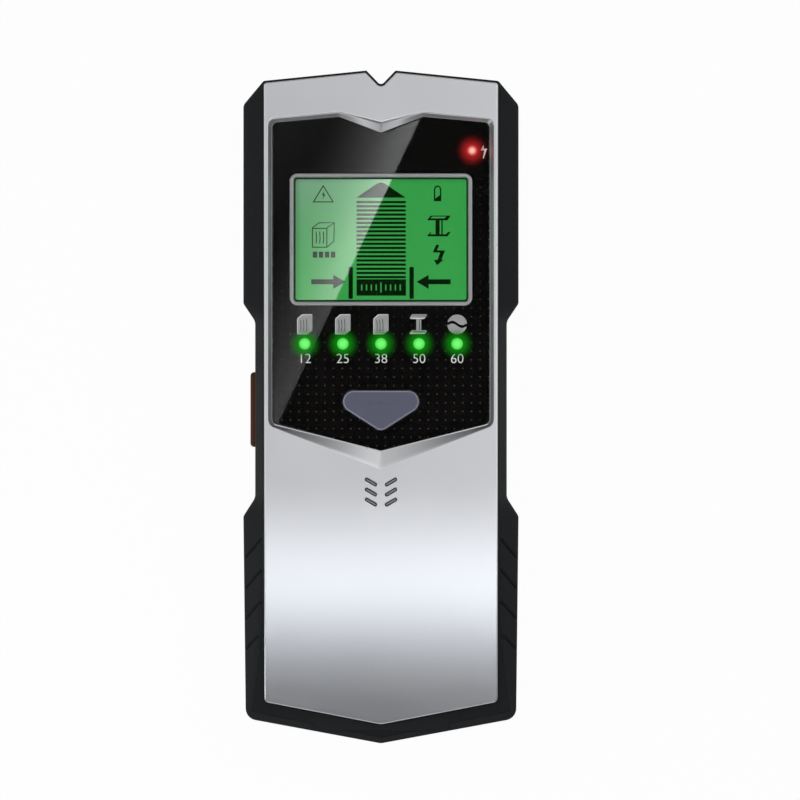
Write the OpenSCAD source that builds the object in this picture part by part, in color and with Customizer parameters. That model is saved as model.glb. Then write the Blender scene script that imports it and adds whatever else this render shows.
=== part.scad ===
// Handheld stud finder, lying on its back.
// Frame: the back is on z = 0, +Z points out of the display face, +Y points to the marking notch,
// and the origin is under the middle of the body. Millimetres.

/* [Body] */
// Overall length, from the bottom point to the shoulders of the notch
body_len = 168; // [166:0.5:205]
// Width over the grips
grip_w = 68.7; // [66:0.1:84]
// Width at the waist
waist_w = 62.8; // [61.5:0.1:64]
// Height of the flat part of the face above the back
body_h = 30; // [29.5:0.5:38]
// Width of the front cover
face_w = 58.4; // [58:0.1:60]
// Length of the handle, where the face curves down
handle_len = 66; // [50:1:80]
// Radius of the curved part of the face
face_r = 260; // [250:5:500]
// Depth of the front cover's side walls
skirt_h = 5; // [4.5:0.1:6]
// Radius of the parting line along the handle
parting_r = 420; // [400:5:600]
// Width of the marking notch at its mouth
notch_w = 7.3; // [5:0.1:9]
// Depth of the marking notch to its sharp point
notch_d = 3.8; // [2.5:0.1:4.5]

/* [Walls] */
// Wall of the rear housing
wall_t = 1.8; // [1.4:0.1:2.2]
// Thickness of the back
floor_t = 2.4; // [2.2:0.1:3]
// Thickness of the rubber sleeve
sleeve_t = 1.3; // [0.9:0.05:1.6]
// Face thickness of the front cover
cover_t = 2; // [1.5:0.1:2.4]
// Depth of the grip grooves
groove_d = 0.55; // [0.3:0.05:0.8]
// Width of the grip grooves
groove_w = 0.9; // [0.5:0.1:1.5]
// Grooves on each side
groove_count = 4; // [2:1:5]

/* [Display] */
// Width of the lens
lens_w = 53.8; // [52:0.1:54.2]
// Thickness of the lens
lens_t = 1.5; // [1:0.1:2]
// Depth of the lens below the face
lens_sink = 1.2; // [0.8:0.1:1.5]
// Thickness of the printed film
film_t = 0.2; // [0.15:0.05:0.4]
// Thickness of the pan that carries the lens
pan_t = 1.5; // [1:0.1:1.8]
// Width of the screen's frame
bezel_w = 45.75; // [44:0.25:47]
// Height of the screen's frame
bezel_l = 33.2; // [30:0.2:35]
// Width of the frame's visible border
bezel_border = 1.15; // [0.8:0.05:1.5]
// Diameter of the lamps
led_d = 3; // [2:0.1:3.2]
// Spacing of the green lamps
led_pitch = 9.5; // [8:0.1:10]

/* [Keys] */
// Width of the front key
mode_w = 19.4; // [16:0.1:22]
// Height of the front key above the lens
mode_proud = 0.7; // [0.6:0.1:1]
// Travel of the front key
mode_travel = 0.6; // [0.3:0.1:0.7]
// Length of the side key
scan_len = 18.7; // [14:0.1:22]
// Height of the side key across the flank
scan_h = 8; // [6:0.5:9]
// Stand of the side key off the flank
scan_proud = 1.2; // [1:0.1:1.6]
// Travel of the side key
scan_travel = 1; // [0.5:0.1:1.2]

/* [Power] */
// Battery width
battery_w = 26.5; // [24:0.5:32]
// Battery thickness
battery_t = 17.5; // [15:0.5:17.5]
// Battery length without its contacts
battery_len = 46; // [40:0.5:46]
// Thickness of the sliding door
door_t = 2.2; // [2:0.1:2.2]

/* [Electronics] */
// Thickness of the circuit boards
board_t = 1.6; // [1:0.1:1.8]
// Width of the main board
board_w = 50.6; // [44:0.2:51]
// Gap from the main board up to the pan
board_gap = 5.1; // [5:0.1:5.6]
// Diameter of the sounder
buzzer_d = 9.6; // [8:0.2:10]
// Shank diameter of the case screws
case_screw_d = 2.5; // [2:0.1:3]
// Shank diameter of the board screws
board_screw_d = 1.9; // [1.5:0.1:2.2]

/* [Hidden] */
$fn = 48;

// Clearances
fit = 0.1;
slide = 0.2;
key_gap = 0.25;
skin = 0.01;
over = 1;

// Ends of the body and half widths
top_y = body_len / 2;
end_y = -body_len / 2;
grip_x = grip_w / 2;
waist_x = waist_w / 2;
face_x = face_w / 2;
rim_lip = 0.2;
rim_x = face_x + rim_lip;

// Outline: distances down from the top and up from the bottom point
shoulder_out = 0.1;
shoulder_x = face_x + shoulder_out;
shoulder_fall = 2.6;
corner_fall = 8.6;
upper_end_y = top_y - 58.2;
waist_top_y = top_y - 62.6;
waist_end_y = end_y + 61.4;
lower_top_y = end_y + 56.8;
waist_mid_y = (waist_top_y + waist_end_y) / 2;
bottom_slope = 0.193;
top_slope = shoulder_fall / (shoulder_x - notch_w / 2);
top_peak_y = top_y + top_slope * notch_w / 2;
handle_taper = 0.6;
outline_r = 2.4;
lap = 3;
notch_r = 1;

// Side shape of the body
base_in = 2.5;
base_rise = 5;
rim_h = body_h - skirt_h;
flank_drop = 4.8;
flank_z = rim_h - flank_drop;
sleeve_z = 4;
curve_y = end_y + handle_len;
curve_steps = 18;

// Front cover outline: distance inside the body's outline at the top and at the bottom
face_in = 0.45;
face_end_in = 4.8;
face_taper = 0.3;
face_corner_r = 0.8;

// Levels under the face
lens_top = body_h - lens_sink;
lens_z = lens_top - lens_t;
film_z = lens_z - film_t;
pan_z = film_z - pan_t;
board_top = pan_z - board_gap;
board_z = board_top - board_t;
pan_edge = 1;

// Window, measured down from the top: peak of the zigzag, middle dip, corners, bottom corners and point
lens_x = lens_w / 2;
peak_x = 10.5;
lens_peak_y = top_y - 11.7;
lens_dip_y = top_y - 15.5;
lens_corner_y = top_y - 13.3;
lens_low_y = top_y - 88.2;
lens_point_y = top_y - 95;
bevel_x = lens_x + 1.1;
bevel_peak_y = top_y - 10.4;
bevel_dip_y = top_y - 12.9;
bevel_corner_y = top_y - 12.2;
bevel_low_y = top_y - 88.5;
bevel_point_y = top_y - 99.5;
window_r = 1.6;

// Screen
screen_y = top_y - 42.2;
bezel_r = 2;
bezel_flange = 1.3;
shelf_drop = 0.6;
glass_t = 2.6;
glass_lap = 1;
shelf_z = pan_z - shelf_drop;
glass_z = shelf_z - glass_t;
screen_w = bezel_w - 2 * bezel_border + 2 * glass_lap;
screen_l = bezel_l - 2 * bezel_border + 2 * glass_lap;
strip_gap = 0.5;
strip_w = 1.6;
strip_edge = 1;
leg_w = 2;
leg_t = 1;

// Lamps
led_y = top_y - 68.2;
led_count = 5;
warning_x = 22.75;
warning_y = top_y - 20;
led_top_gap = 0.2;
led_rim = 0.4;
led_rim_h = 1;
led_lead_d = 0.5;
led_lead_pitch = 2.54;
led_lead_h = 0.8;

// Front key
mode_y = top_y - 84;
mode_rise = 4.3;
mode_fall = 6;
mode_side_fall = 2.8;
mode_side_h = 2.6;
mode_top_in = 2.2;
mode_low_in = 0.8;
mode_point_x = 2;
mode_r = 2;
mode_flange = 1;
mode_flange_z = pan_z - slide - mode_flange;
mode_switch_w = 6.2;
mode_switch_h = mode_flange_z - mode_travel - 2 * slide - board_top;
plunger_d = 3.4;
plunger_in = 1;

// Side key
scan_y = waist_mid_y;
scan_r = 1.75;
scan_rim = 1;
scan_flange = 1;
scan_wall_x = -(waist_x - sleeve_t - wall_t);
scan_switch_x = -board_w / 2;
scan_switch_l = 5.5;
scan_switch_w = 7;
scan_switch_h = 4;
scan_plunger_d = 2.4;
scan_plunger_in = 1.6;
scan_plunger_z = board_z - scan_switch_h / 2;
scan_z = scan_plunger_z - scan_h / 2 + fit;
scan_flange_x = scan_wall_x + slide;

// Sound slots and sounder
slot_y = top_y - 105.2;
slot_x = 2.5;
slot_pitch = 2.5;
slot_len = 3.3;
slot_w = 0.85;
slot_turn = 30;
buzzer_y = slot_y + 0.8;
buzzer_h = 6.2;
buzzer_port_d = 2;
buzzer_port_h = 1;

// Battery bay and door
door_over = 1.9;
door_w = battery_w + door_over;
door_flange = 0.8;
door_flange_t = 1;
door_plate_t = door_t - door_flange_t;
battery_z = floor_t;
battery_top = battery_z + battery_t;
bay_gap = 0.35;
bay_wall = 1.2;
bay_side = 1.6;
bay_in_x = battery_w / 2 + bay_gap;
bay_out_x = door_w / 2 + door_flange + slide + bay_side;
bay_roof = 0.8;
battery_gap = 0.3;
battery_r = 2;
end_wall = (sleeve_t + wall_t) / cos(atan(bottom_slope));
battery_y = end_y + end_wall + bottom_slope * battery_w / 2 + battery_gap;
battery_end_y = battery_y + battery_len;
snap_t = 4.6;
snap_end_y = battery_end_y + snap_t;
snap_gap = 0.4;
snap_r = 5;
snap_h = 12;
snap_side = 0.25;
bay_top_y = snap_end_y + snap_gap;
door_lap = 0.5;
door_top_y = bay_top_y + door_lap;
contact_pitch = 12.7;
contact_h = 2.4;
plus_d = 5.7;
minus_d = 7.4;
battery_mid_z = battery_z + battery_t / 2;
ridge_count = 5;
ridge_pitch = 2.2;
ridge_d = 0.5;
ridge_drop = 5;

// Main board
board_top_y = top_y - 14.5;
board_end_gap = 0.5;
board_end_y = bay_top_y + bay_wall + board_end_gap;
post_d = 4.6;
post_bite = 3.5;
posts = [for (side = [-1, 1], place = [[14, top_y - 18], [22, board_end_y + 11]])
    [side * place[0], place[1]]];
tip_gap = 0.5;
board_head_d = 3.6;
board_head_h = 1.3;

// Case screws
case_post_d = 6.4;
low_post_x = rim_x - handle_taper - sleeve_t - wall_t - case_post_d / 2;
case_posts = [for (side = [-1, 1], place = [[22, top_y - 10.6], [low_post_x, end_y + 20]])
    [side * place[0], place[1]]];
rear_post_d = 8.6;
head_d = 5.5;
head_h = 2;
head_seat_z = 8;
post_split_z = 12;
case_bite = 8.5;

// Sensor board
sensor_stand = 1;
sensor_z = floor_t + sensor_stand;
sensor_w = 44;
sensor_top_y = top_y - 16;
sensor_end_y = top_y - 70;
sensor_mid_y = (sensor_top_y + sensor_end_y) / 2;
sensor_edge = 4;
sensor_posts = [for (side = [-1, 1], y = [sensor_top_y - sensor_edge, sensor_end_y + sensor_edge])
    [side * (sensor_w / 2 - sensor_edge), y]];
sensor_bite = 2.2;
sensor_tip_gap = 0.2;
plate_t = 0.15;
plate_w = 11;
plate_gap = 1.5;
plate_edge = 8;
coil_d = 26;
coil_wire = 4;
coil_h = 3;
header_pins = 7;
header_pitch = 2.54;
header_y = sensor_top_y - 6;
pin_d = 0.64;

// Leads
lead_d = 1.4;
lead_x = 3;
lead_bend = 1.9;
lead_lift = 5.05;
lead_z = battery_mid_z + lead_lift;
lead_rise = board_z - lead_z - lead_bend;
lead_run = 2;

// Helpers for outlines

function mirrored(p) = concat(p, [for (i = [len(p) - 1:-1:0]) if (p[i][0] > 0) [-p[i][0], p[i][1]]]);

module rounded(r) {
    offset(r = r) offset(delta = -r) children();
}

module rounded_box(w, l, r) {
    rounded(r) square([w, l], center = true);
}

module upper_outline(side, waist) {
    rounded(outline_r) polygon(mirrored([
        [notch_w / 2, top_y],
        [shoulder_x, top_y - shoulder_fall],
        [side, top_y - corner_fall],
        [side, upper_end_y],
        [waist, waist_top_y],
        [waist - lap, waist_top_y - lap]
    ]));
}

module waist_outline(waist) {
    polygon(mirrored([
        [waist, waist_top_y + lap],
        [waist, waist_end_y - lap]
    ]));
}

module lower_outline(side, waist, end_in) {
    point_y = end_y + end_in;
    rounded(outline_r) polygon(mirrored([
        [waist - lap, waist_end_y + lap],
        [waist, waist_end_y],
        [side, lower_top_y],
        [side - handle_taper, point_y + bottom_slope * (side - handle_taper)],
        [0, point_y]
    ]));
}

module body_outline(side, waist, end_in) {
    upper_outline(side, waist);
    waist_outline(waist);
    lower_outline(side, waist, end_in);
}

module notch_outline() {
    rounded(notch_r) polygon([
        [-notch_w, top_y + notch_d],
        [notch_w, top_y + notch_d],
        [0, top_y - notch_d]
    ]);
}

module face_outline() {
    difference() {
        rounded(face_corner_r) polygon(mirrored([
            [notch_w / 2, top_y - face_in],
            [face_x, top_y - shoulder_fall - face_in],
            [face_x - face_taper, end_y + face_end_in + bottom_slope * face_x],
            [0, end_y + face_end_in]
        ]));
        offset(delta = face_in) notch_outline();
    }
}

function half_window(x, peak_y, dip_y, corner_y, low_y, point_y) =
    [[0, dip_y], [peak_x, peak_y], [x, corner_y], [x, low_y], [0, point_y]];

module lens_outline() {
    rounded(window_r) polygon(mirrored(
        half_window(lens_x, lens_peak_y, lens_dip_y, lens_corner_y, lens_low_y, lens_point_y)));
}

module mode_outline() {
    half_w = mode_w / 2;
    side_y = mode_rise - mode_side_fall;
    translate([0, mode_y]) rounded(mode_r) polygon(mirrored([
        [half_w - mode_top_in, mode_rise],
        [half_w, side_y],
        [half_w - mode_low_in, side_y - mode_side_h],
        [mode_point_x, -mode_fall]
    ]));
}

module slot_outline() {
    for (row = [-1:1], side = [-1, 1])
        translate([side * slot_x, slot_y + row * slot_pitch]) rotate(side * slot_turn)
            rounded(slot_w / 2 - skin) square([slot_len, slot_w], center = true);
}

// Helpers for solids

function arc_z(y, h, r) = y >= curve_y ? h : h - r + sqrt(r * r - (curve_y - y) * (curve_y - y));

// Everything below a face that is flat at height h and bends down along the handle with radius r
module under_curve(h, r) {
    low_y = end_y - over;
    curve = [for (i = [0:curve_steps])
        let (y = curve_y + (low_y - curve_y) * i / curve_steps) [y, arc_z(y, h, r)]];
    rotate([90, 0, 90]) linear_extrude(grip_w + 2 * over, center = true)
        polygon(concat([[low_y, -over], [top_y + over, -over], [top_y + over, h]], curve));
}

module under_face(depth) {
    under_curve(body_h - depth, face_r - depth);
}

module under_rim() {
    under_curve(rim_h, parting_r);
}

// Cross-section of the body: drawn in at the back, upright, then sloping in to the front cover
module side_profile(half_w, half_rim) {
    rotate([90, 0, 0]) linear_extrude(2 * body_len, center = true) polygon(mirrored([
        [half_w - base_in, 0],
        [half_w, base_rise],
        [half_w, flank_z],
        [half_rim, rim_h],
        [half_rim, rim_h + over]
    ]));
}

// Everything inside one straight end edge through the point (0, 0), which is turned and slopes like the sides
module end_profile(turn, rim_in) {
    inner_y = body_len;
    rotate(turn) rotate([90, 0, 90]) linear_extrude(2 * grip_w, center = true) polygon([
        [base_in, 0],
        [0, base_rise],
        [0, flank_z],
        [rim_in, rim_h],
        [rim_in, rim_h + over],
        [inner_y, rim_h + over],
        [inner_y, 0]
    ]);
}

module stretch(half_w, inset) {
    intersection() {
        linear_extrude(rim_h + over) offset(delta = -inset) children();
        side_profile(half_w - inset, rim_x - inset);
    }
}

module upper_stretch(inset) {
    turn = atan(top_slope);
    intersection() {
        stretch(grip_x, inset) upper_outline(grip_x, waist_x);
        translate([0, top_peak_y - inset, 0]) mirror([0, 1, 0]) end_profile(turn, 0);
        translate([0, top_peak_y - inset, 0]) mirror([0, 1, 0]) end_profile(-turn, 0);
    }
}

module lower_stretch(inset) {
    turn = atan(bottom_slope);
    intersection() {
        stretch(grip_x, inset) lower_outline(grip_x, waist_x, 0);
        translate([0, end_y + inset, 0]) end_profile(turn, face_end_in - rim_lip);
        translate([0, end_y + inset, 0]) end_profile(-turn, face_end_in - rim_lip);
    }
}

module body_solid(inset) {
    upper_stretch(inset);
    stretch(waist_x, inset) waist_outline(waist_x);
    lower_stretch(inset);
}

module slab(z, h) {
    translate([-grip_w, -body_len, z]) cube([2 * grip_w, 2 * body_len, h]);
}

module notch_cut() {
    translate([0, 0, -over]) linear_extrude(body_h + 2 * over) notch_outline();
}

module at_each(places, z = 0) {
    for (p = places) translate([p[0], p[1], z]) children();
}

module side_prism(x, len, w, h, r) {
    translate([x, scan_y, scan_z]) rotate([90, 0, 90]) linear_extrude(len) rounded_box(w, h, r);
}

// A screw with its head on the +Z end of the origin plane and its shank below
module screw(shank_d, shank_len, head_dia, head_height) {
    cross_w = head_dia * 0.16;
    cross_l = head_dia * 0.6;
    translate([0, 0, -shank_len]) cylinder(d = shank_d, h = shank_len + skin);
    difference() {
        cylinder(d = head_dia, h = head_height);
        for (turn = [0, 90]) rotate(turn) translate([-cross_l / 2, -cross_w / 2, head_height / 2])
            cube([cross_l, cross_w, head_height]);
    }
}

module led(x, y) {
    top_z = film_z - led_top_gap;
    base_z = board_top + led_lead_h;
    translate([x, y, 0]) {
        translate([0, 0, base_z]) cylinder(d = led_d + 2 * led_rim, h = led_rim_h);
        translate([0, 0, base_z]) cylinder(d = led_d, h = top_z - led_d / 2 - base_z);
        translate([0, 0, top_z - led_d / 2]) sphere(d = led_d);
        for (side = [-1, 1]) translate([side * led_lead_pitch / 2, 0, board_top])
            cylinder(d = led_lead_d, h = led_lead_h + skin);
    }
}

function led_xs() = [for (i = [0:led_count - 1]) (i - (led_count - 1) / 2) * led_pitch];

// Casing

module window_cut() {
    translate([0, 0, film_z]) linear_extrude(body_h) lens_outline();
    for (side = [0, 1]) mirror([side, 0, 0]) hull() {
        translate([0, 0, lens_top]) linear_extrude(skin)
            polygon(half_window(lens_x, lens_peak_y, lens_dip_y, lens_corner_y, lens_low_y, lens_point_y));
        translate([0, 0, body_h]) linear_extrude(skin)
            polygon(half_window(bevel_x, bevel_peak_y, bevel_dip_y, bevel_corner_y, bevel_low_y,
                bevel_point_y));
    }
}

module cover_shell() {
    difference() {
        intersection() {
            linear_extrude(body_h + over) face_outline();
            difference() {
                under_face(0);
                under_rim();
            }
        }
        intersection() {
            linear_extrude(body_h + over) offset(delta = -wall_t) face_outline();
            under_face(cover_t);
        }
    }
}

module cover_posts() {
    intersection() {
        union() {
            at_each(case_posts, post_split_z) cylinder(d = case_post_d, h = body_h);
            at_each(posts, board_top) cylinder(d = post_d, h = body_h);
        }
        under_face(cover_t / 2);
    }
}

module front_cover() {
    color([0.74, 0.75, 0.77]) difference() {
        union() {
            cover_shell();
            translate([0, 0, pan_z]) linear_extrude(body_h - cover_t / 2 - pan_z)
                offset(delta = pan_edge) lens_outline();
            cover_posts();
        }
        window_cut();
        translate([0, screen_y, pan_z - over]) linear_extrude(body_h)
            rounded_box(bezel_w + 2 * fit, bezel_l + 2 * fit, bezel_r);
        translate([0, 0, pan_z - over]) {
            linear_extrude(body_h) offset(delta = key_gap) mode_outline();
            for (x = led_xs()) translate([x, led_y, 0]) cylinder(d = led_d + 4 * fit, h = body_h);
            translate([warning_x, warning_y, 0]) cylinder(d = led_d + 4 * fit, h = body_h);
            linear_extrude(body_h) slot_outline();
        }
        at_each(case_posts, post_split_z - over) cylinder(d = case_screw_d + fit, h = case_bite + over);
        at_each(posts, board_top - over) cylinder(d = board_screw_d + fit, h = post_bite + over);
    }
}

module housing_cavity() {
    inset = sleeve_t + wall_t;
    difference() {
        union() {
            translate([0, 0, floor_t]) linear_extrude(flank_z - floor_t)
                offset(delta = -inset) body_outline(grip_x, waist_x, 0);
            translate([0, 0, flank_z - skin]) linear_extrude(body_h)
                offset(delta = -inset) body_outline(rim_x, rim_x, face_end_in - rim_lip);
        }
        linear_extrude(body_h) offset(delta = inset) notch_outline();
    }
}

module battery_bay() {
    low_y = end_y + sleeve_t;
    top = battery_top + fit;
    difference() {
        translate([-bay_out_x, low_y, floor_t - skin])
            cube([2 * bay_out_x, bay_top_y + bay_wall - low_y, top + bay_roof - floor_t + skin]);
        translate([-bay_in_x, low_y - over, 0])
            cube([2 * bay_in_x, bay_top_y - low_y + over, top]);
        at_each(case_posts, post_split_z) cylinder(d = case_post_d + 2 * fit, h = body_h);
    }
}

module door_slot() {
    low_y = end_y - over;
    plate_w = door_w + 2 * slide;
    flange_w = plate_w + 2 * door_flange;
    translate([-plate_w / 2, low_y, -over])
        cube([plate_w, door_top_y + slide - low_y, floor_t + over]);
    translate([-flange_w / 2, low_y, door_plate_t - fit])
        cube([flange_w, door_top_y + slide - low_y, floor_t - door_plate_t + fit]);
}

module scan_window() {
    side_prism(-grip_x, grip_x - board_w / 2, scan_len + 2 * key_gap, scan_h + 2 * key_gap, scan_r + key_gap);
}

module rear_housing() {
    color([0.10, 0.10, 0.11]) difference() {
        intersection() {
            union() {
                difference() {
                    union() {
                        intersection() {
                            body_solid(0);
                            slab(-over, sleeve_z + over);
                        }
                        body_solid(sleeve_t);
                    }
                    housing_cavity();
                }
                intersection() {
                    battery_bay();
                    linear_extrude(body_h) offset(delta = -sleeve_t - wall_t / 2)
                        body_outline(grip_x, waist_x, 0);
                }
                at_each(case_posts, floor_t - skin)
                    cylinder(d = rear_post_d, h = post_split_z - floor_t + skin);
                at_each(sensor_posts, floor_t - skin) cylinder(d = post_d, h = sensor_stand + skin);
            }
            under_rim();
        }
        notch_cut();
        door_slot();
        scan_window();
        at_each(case_posts, -over) {
            cylinder(d = head_d + 4 * slide, h = head_seat_z + over);
            cylinder(d = case_screw_d + 2 * slide, h = post_split_z + 2 * over);
        }
        at_each(sensor_posts, sensor_z - sensor_bite)
            cylinder(d = board_screw_d + fit, h = sensor_bite + over);
        translate([-lead_x - lead_d, bay_top_y - over, lead_z - lead_d])
            cube([2 * (lead_x + lead_d), bay_wall + 2 * over, 2 * lead_d]);
    }
}

module groove_cuts() {
    groove_l = 9;
    first_y = end_y + 48.5;
    pitch = 7.7;
    from_side = 2.2;
    turn = 50;
    difference() {
        for (side = [-1, 1], i = [0:groove_count - 1])
            translate([side * (grip_x - from_side), first_y - i * pitch, base_rise]) rotate(-side * turn)
                translate([-groove_l / 2, -groove_w / 2, 0]) cube([groove_l, groove_w, body_h]);
        lower_stretch(groove_d);
    }
}

module grip_sleeve() {
    color([0.14, 0.15, 0.15]) difference() {
        intersection() {
            difference() {
                body_solid(0);
                body_solid(sleeve_t);
            }
            slab(sleeve_z, body_h);
            under_rim();
        }
        notch_cut();
        scan_window();
        groove_cuts();
    }
}

module battery_door() {
    ridge_y = door_top_y - ridge_drop;
    color([0.10, 0.10, 0.11]) difference() {
        intersection() {
            union() {
                translate([-door_w / 2, end_y, 0]) cube([door_w, door_top_y - end_y, door_t]);
                translate([-door_w / 2 - door_flange, end_y, door_plate_t])
                    cube([door_w + 2 * door_flange, door_top_y - end_y, door_flange_t]);
            }
            lower_stretch(0);
        }
        for (i = [0:ridge_count - 1]) translate([-door_w / 4, ridge_y - i * ridge_pitch, -over])
            cube([door_w / 2, ridge_pitch / 2, over + ridge_d]);
    }
}

// Display

module display_lens() {
    color([0.75, 0.85, 0.9, 0.4]) difference() {
        translate([0, 0, lens_z]) linear_extrude(lens_t) offset(delta = -fit) lens_outline();
        translate([0, 0, lens_z - over]) linear_extrude(body_h) offset(delta = key_gap) mode_outline();
    }
}

module graphic_film() {
    color([0.05, 0.05, 0.05]) translate([0, 0, film_z]) linear_extrude(film_t) difference() {
        offset(delta = -fit) lens_outline();
        offset(delta = key_gap) mode_outline();
        translate([0, screen_y]) rounded_box(bezel_w + 2 * fit, bezel_l + 2 * fit, bezel_r);
        for (x = led_xs()) translate([x, led_y]) circle(d = led_d);
        translate([warning_x, warning_y]) circle(d = led_d);
    }
}

module lcd_bezel() {
    flange_w = bezel_w + 2 * bezel_flange;
    flange_l = bezel_l + 2 * bezel_flange;
    open_w = bezel_w - 2 * bezel_border;
    open_l = bezel_l - 2 * bezel_border;
    color([0.8, 0.81, 0.83]) translate([0, screen_y, 0]) {
        difference() {
            union() {
                translate([0, 0, glass_z]) linear_extrude(pan_z - slide / 2 - glass_z)
                    rounded_box(flange_w, flange_l, bezel_r);
                translate([0, 0, shelf_z]) linear_extrude(lens_z - shelf_z)
                    rounded_box(bezel_w, bezel_l, bezel_r);
            }
            translate([0, 0, glass_z - over]) linear_extrude(shelf_z - glass_z + over)
                square([screen_w + 2 * fit, screen_l + 2 * fit], center = true);
            translate([0, 0, glass_z]) linear_extrude(body_h)
                rounded_box(open_w, open_l, bezel_r - bezel_border);
        }
        for (side = [-1, 1], end = [-1, 1])
            translate([side * (flange_w / 2 - leg_w), end * (flange_l - leg_t) / 2, board_top])
                linear_extrude(glass_z + skin - board_top) square([leg_w, leg_t], center = true);
    }
}

module screen_block(z, w, l, h) {
    translate([0, screen_y, z + h / 2]) cube([w, l, h], center = true);
}

module lcd_glass() {
    color([0.25, 0.6, 0.3]) screen_block(glass_z, screen_w, screen_l, glass_t);
}

module lcd_backlight() {
    color([0.5, 0.9, 0.5])
        screen_block(board_top, screen_w, screen_l - 2 * (strip_w + strip_gap), glass_z - board_top);
}

module zebra_strips() {
    color([0.85, 0.5, 0.6]) for (side = [-1, 1]) translate([0, side * (screen_l - strip_w) / 2, 0])
        screen_block(board_top, screen_w - 2 * strip_edge, strip_w, glass_z - board_top);
}

module status_leds() {
    color([0.4, 1, 0.45]) for (x = led_xs()) led(x, led_y);
}

module warning_led() {
    color([1, 0.25, 0.2]) led(warning_x, warning_y);
}

// Keys and switches

module mode_button() {
    color([0.32, 0.34, 0.41]) translate([0, 0, mode_flange_z]) {
        linear_extrude(lens_top + mode_proud - mode_flange_z) mode_outline();
        linear_extrude(mode_flange) offset(delta = mode_flange) mode_outline();
    }
}

module mode_plunger() {
    low_z = board_top + mode_switch_h - plunger_in;
    color([0.15, 0.15, 0.15]) translate([0, mode_y, low_z])
        cylinder(d = plunger_d, h = mode_flange_z - low_z);
}

module mode_switch() {
    bore_h = plunger_in + mode_travel + slide;
    color([0.2, 0.2, 0.22]) translate([0, mode_y, board_top]) difference() {
        translate([-mode_switch_w / 2, -mode_switch_w / 2, 0])
            cube([mode_switch_w, mode_switch_w, mode_switch_h]);
        translate([0, 0, mode_switch_h - bore_h]) cylinder(d = plunger_d + 2 * slide, h = bore_h + over);
    }
}

module scan_button() {
    outer_x = -(waist_x + scan_proud);
    color([0.40, 0.13, 0.09]) {
        side_prism(outer_x, scan_flange_x + scan_flange - outer_x, scan_len, scan_h, scan_r);
        side_prism(scan_flange_x, scan_flange, scan_len + 2 * scan_rim, scan_h + 2 * scan_rim, scan_r);
    }
}

module scan_plunger() {
    low_x = scan_flange_x + scan_flange;
    color([0.9, 0.9, 0.88]) translate([low_x, scan_y, scan_plunger_z]) rotate([0, 90, 0])
        cylinder(d = scan_plunger_d, h = scan_switch_x + scan_plunger_in - low_x);
}

module scan_switch() {
    bore_l = scan_plunger_in + scan_travel + slide;
    color([0.2, 0.2, 0.22]) difference() {
        translate([scan_switch_x, scan_y - scan_switch_w / 2, board_z - scan_switch_h])
            cube([scan_switch_l, scan_switch_w, scan_switch_h]);
        translate([scan_switch_x - over, scan_y, scan_plunger_z]) rotate([0, 90, 0])
            cylinder(d = scan_plunger_d + 2 * slide, h = bore_l + over);
    }
}

// Electronics

module main_board() {
    color([0.1, 0.35, 0.2]) difference() {
        translate([-board_w / 2, board_end_y, board_z])
            cube([board_w, board_top_y - board_end_y, board_t]);
        at_each(posts, board_z - over) cylinder(d = board_screw_d + 2 * slide, h = board_t + 2 * over);
    }
}

module chip(w, l, h, legs, pitch) {
    leg_len = 0.9;
    leg_h = 0.25;
    translate([-w / 2, -l / 2, -h]) cube([w, l, h]);
    for (i = [0:legs - 1])
        translate([0, (i - (legs - 1) / 2) * pitch, -leg_h / 2])
            cube([w + 2 * leg_len, pitch / 2, leg_h], center = true);
}

module controller_chip() {
    color([0.08, 0.08, 0.08]) translate([0, screen_y, board_z])
        chip(w = 10, l = 10, h = 1.6, legs = 11, pitch = 0.8);
}

module signal_chips() {
    from_mid = 12;
    below_screen = 22;
    color([0.08, 0.08, 0.08]) for (side = [-1, 1])
        translate([side * from_mid, screen_y - below_screen, board_z])
            chip(w = 4, l = 5, h = 1.5, legs = 4, pitch = 1.27);
}

module buzzer() {
    color([0.06, 0.06, 0.06]) translate([0, buzzer_y, board_top]) difference() {
        cylinder(d = buzzer_d, h = buzzer_h);
        translate([0, 0, buzzer_h - buzzer_port_h]) cylinder(d = buzzer_port_d, h = buzzer_port_h + over);
    }
}

module sensor_board() {
    color([0.1, 0.35, 0.2]) difference() {
        translate([-sensor_w / 2, sensor_end_y, sensor_z])
            cube([sensor_w, sensor_top_y - sensor_end_y, board_t]);
        at_each(sensor_posts, sensor_z - over)
            cylinder(d = board_screw_d + 2 * slide, h = board_t + 2 * over);
    }
}

module sensor_plates() {
    plate_l = sensor_top_y - sensor_end_y - 2 * plate_edge;
    color([0.8, 0.5, 0.25]) for (i = [-1:1])
        translate([i * (plate_w + plate_gap), sensor_mid_y, sensor_z - plate_t / 2])
            cube([plate_w, plate_l, plate_t], center = true);
}

module metal_coil() {
    color([0.75, 0.42, 0.2]) translate([0, sensor_mid_y, sensor_z + board_t])
        rotate_extrude() translate([coil_d / 2 - coil_wire, 0]) square([coil_wire, coil_h]);
}

module board_header() {
    base_z = sensor_z + board_t;
    color([0.1, 0.1, 0.1]) translate([0, header_y, base_z]) {
        translate([-header_pins * header_pitch / 2, -header_pitch / 2, 0])
            cube([header_pins * header_pitch, header_pitch, header_pitch]);
        for (i = [0:header_pins - 1])
            translate([(i - (header_pins - 1) / 2) * header_pitch, 0, header_pitch / 2])
                cylinder(d = pin_d, h = board_z - base_z - header_pitch / 2);
    }
}

// Power

module battery() {
    color([0.2, 0.22, 0.25]) translate([0, battery_y, battery_mid_z]) rotate([-90, 0, 0])
        linear_extrude(battery_len) rounded_box(battery_w, battery_t, battery_r);
}

module contact(side, d, h) {
    translate([side * contact_pitch / 2, battery_end_y, battery_mid_z]) rotate([-90, 0, 0])
        cylinder(d = d, h = h);
}

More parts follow.
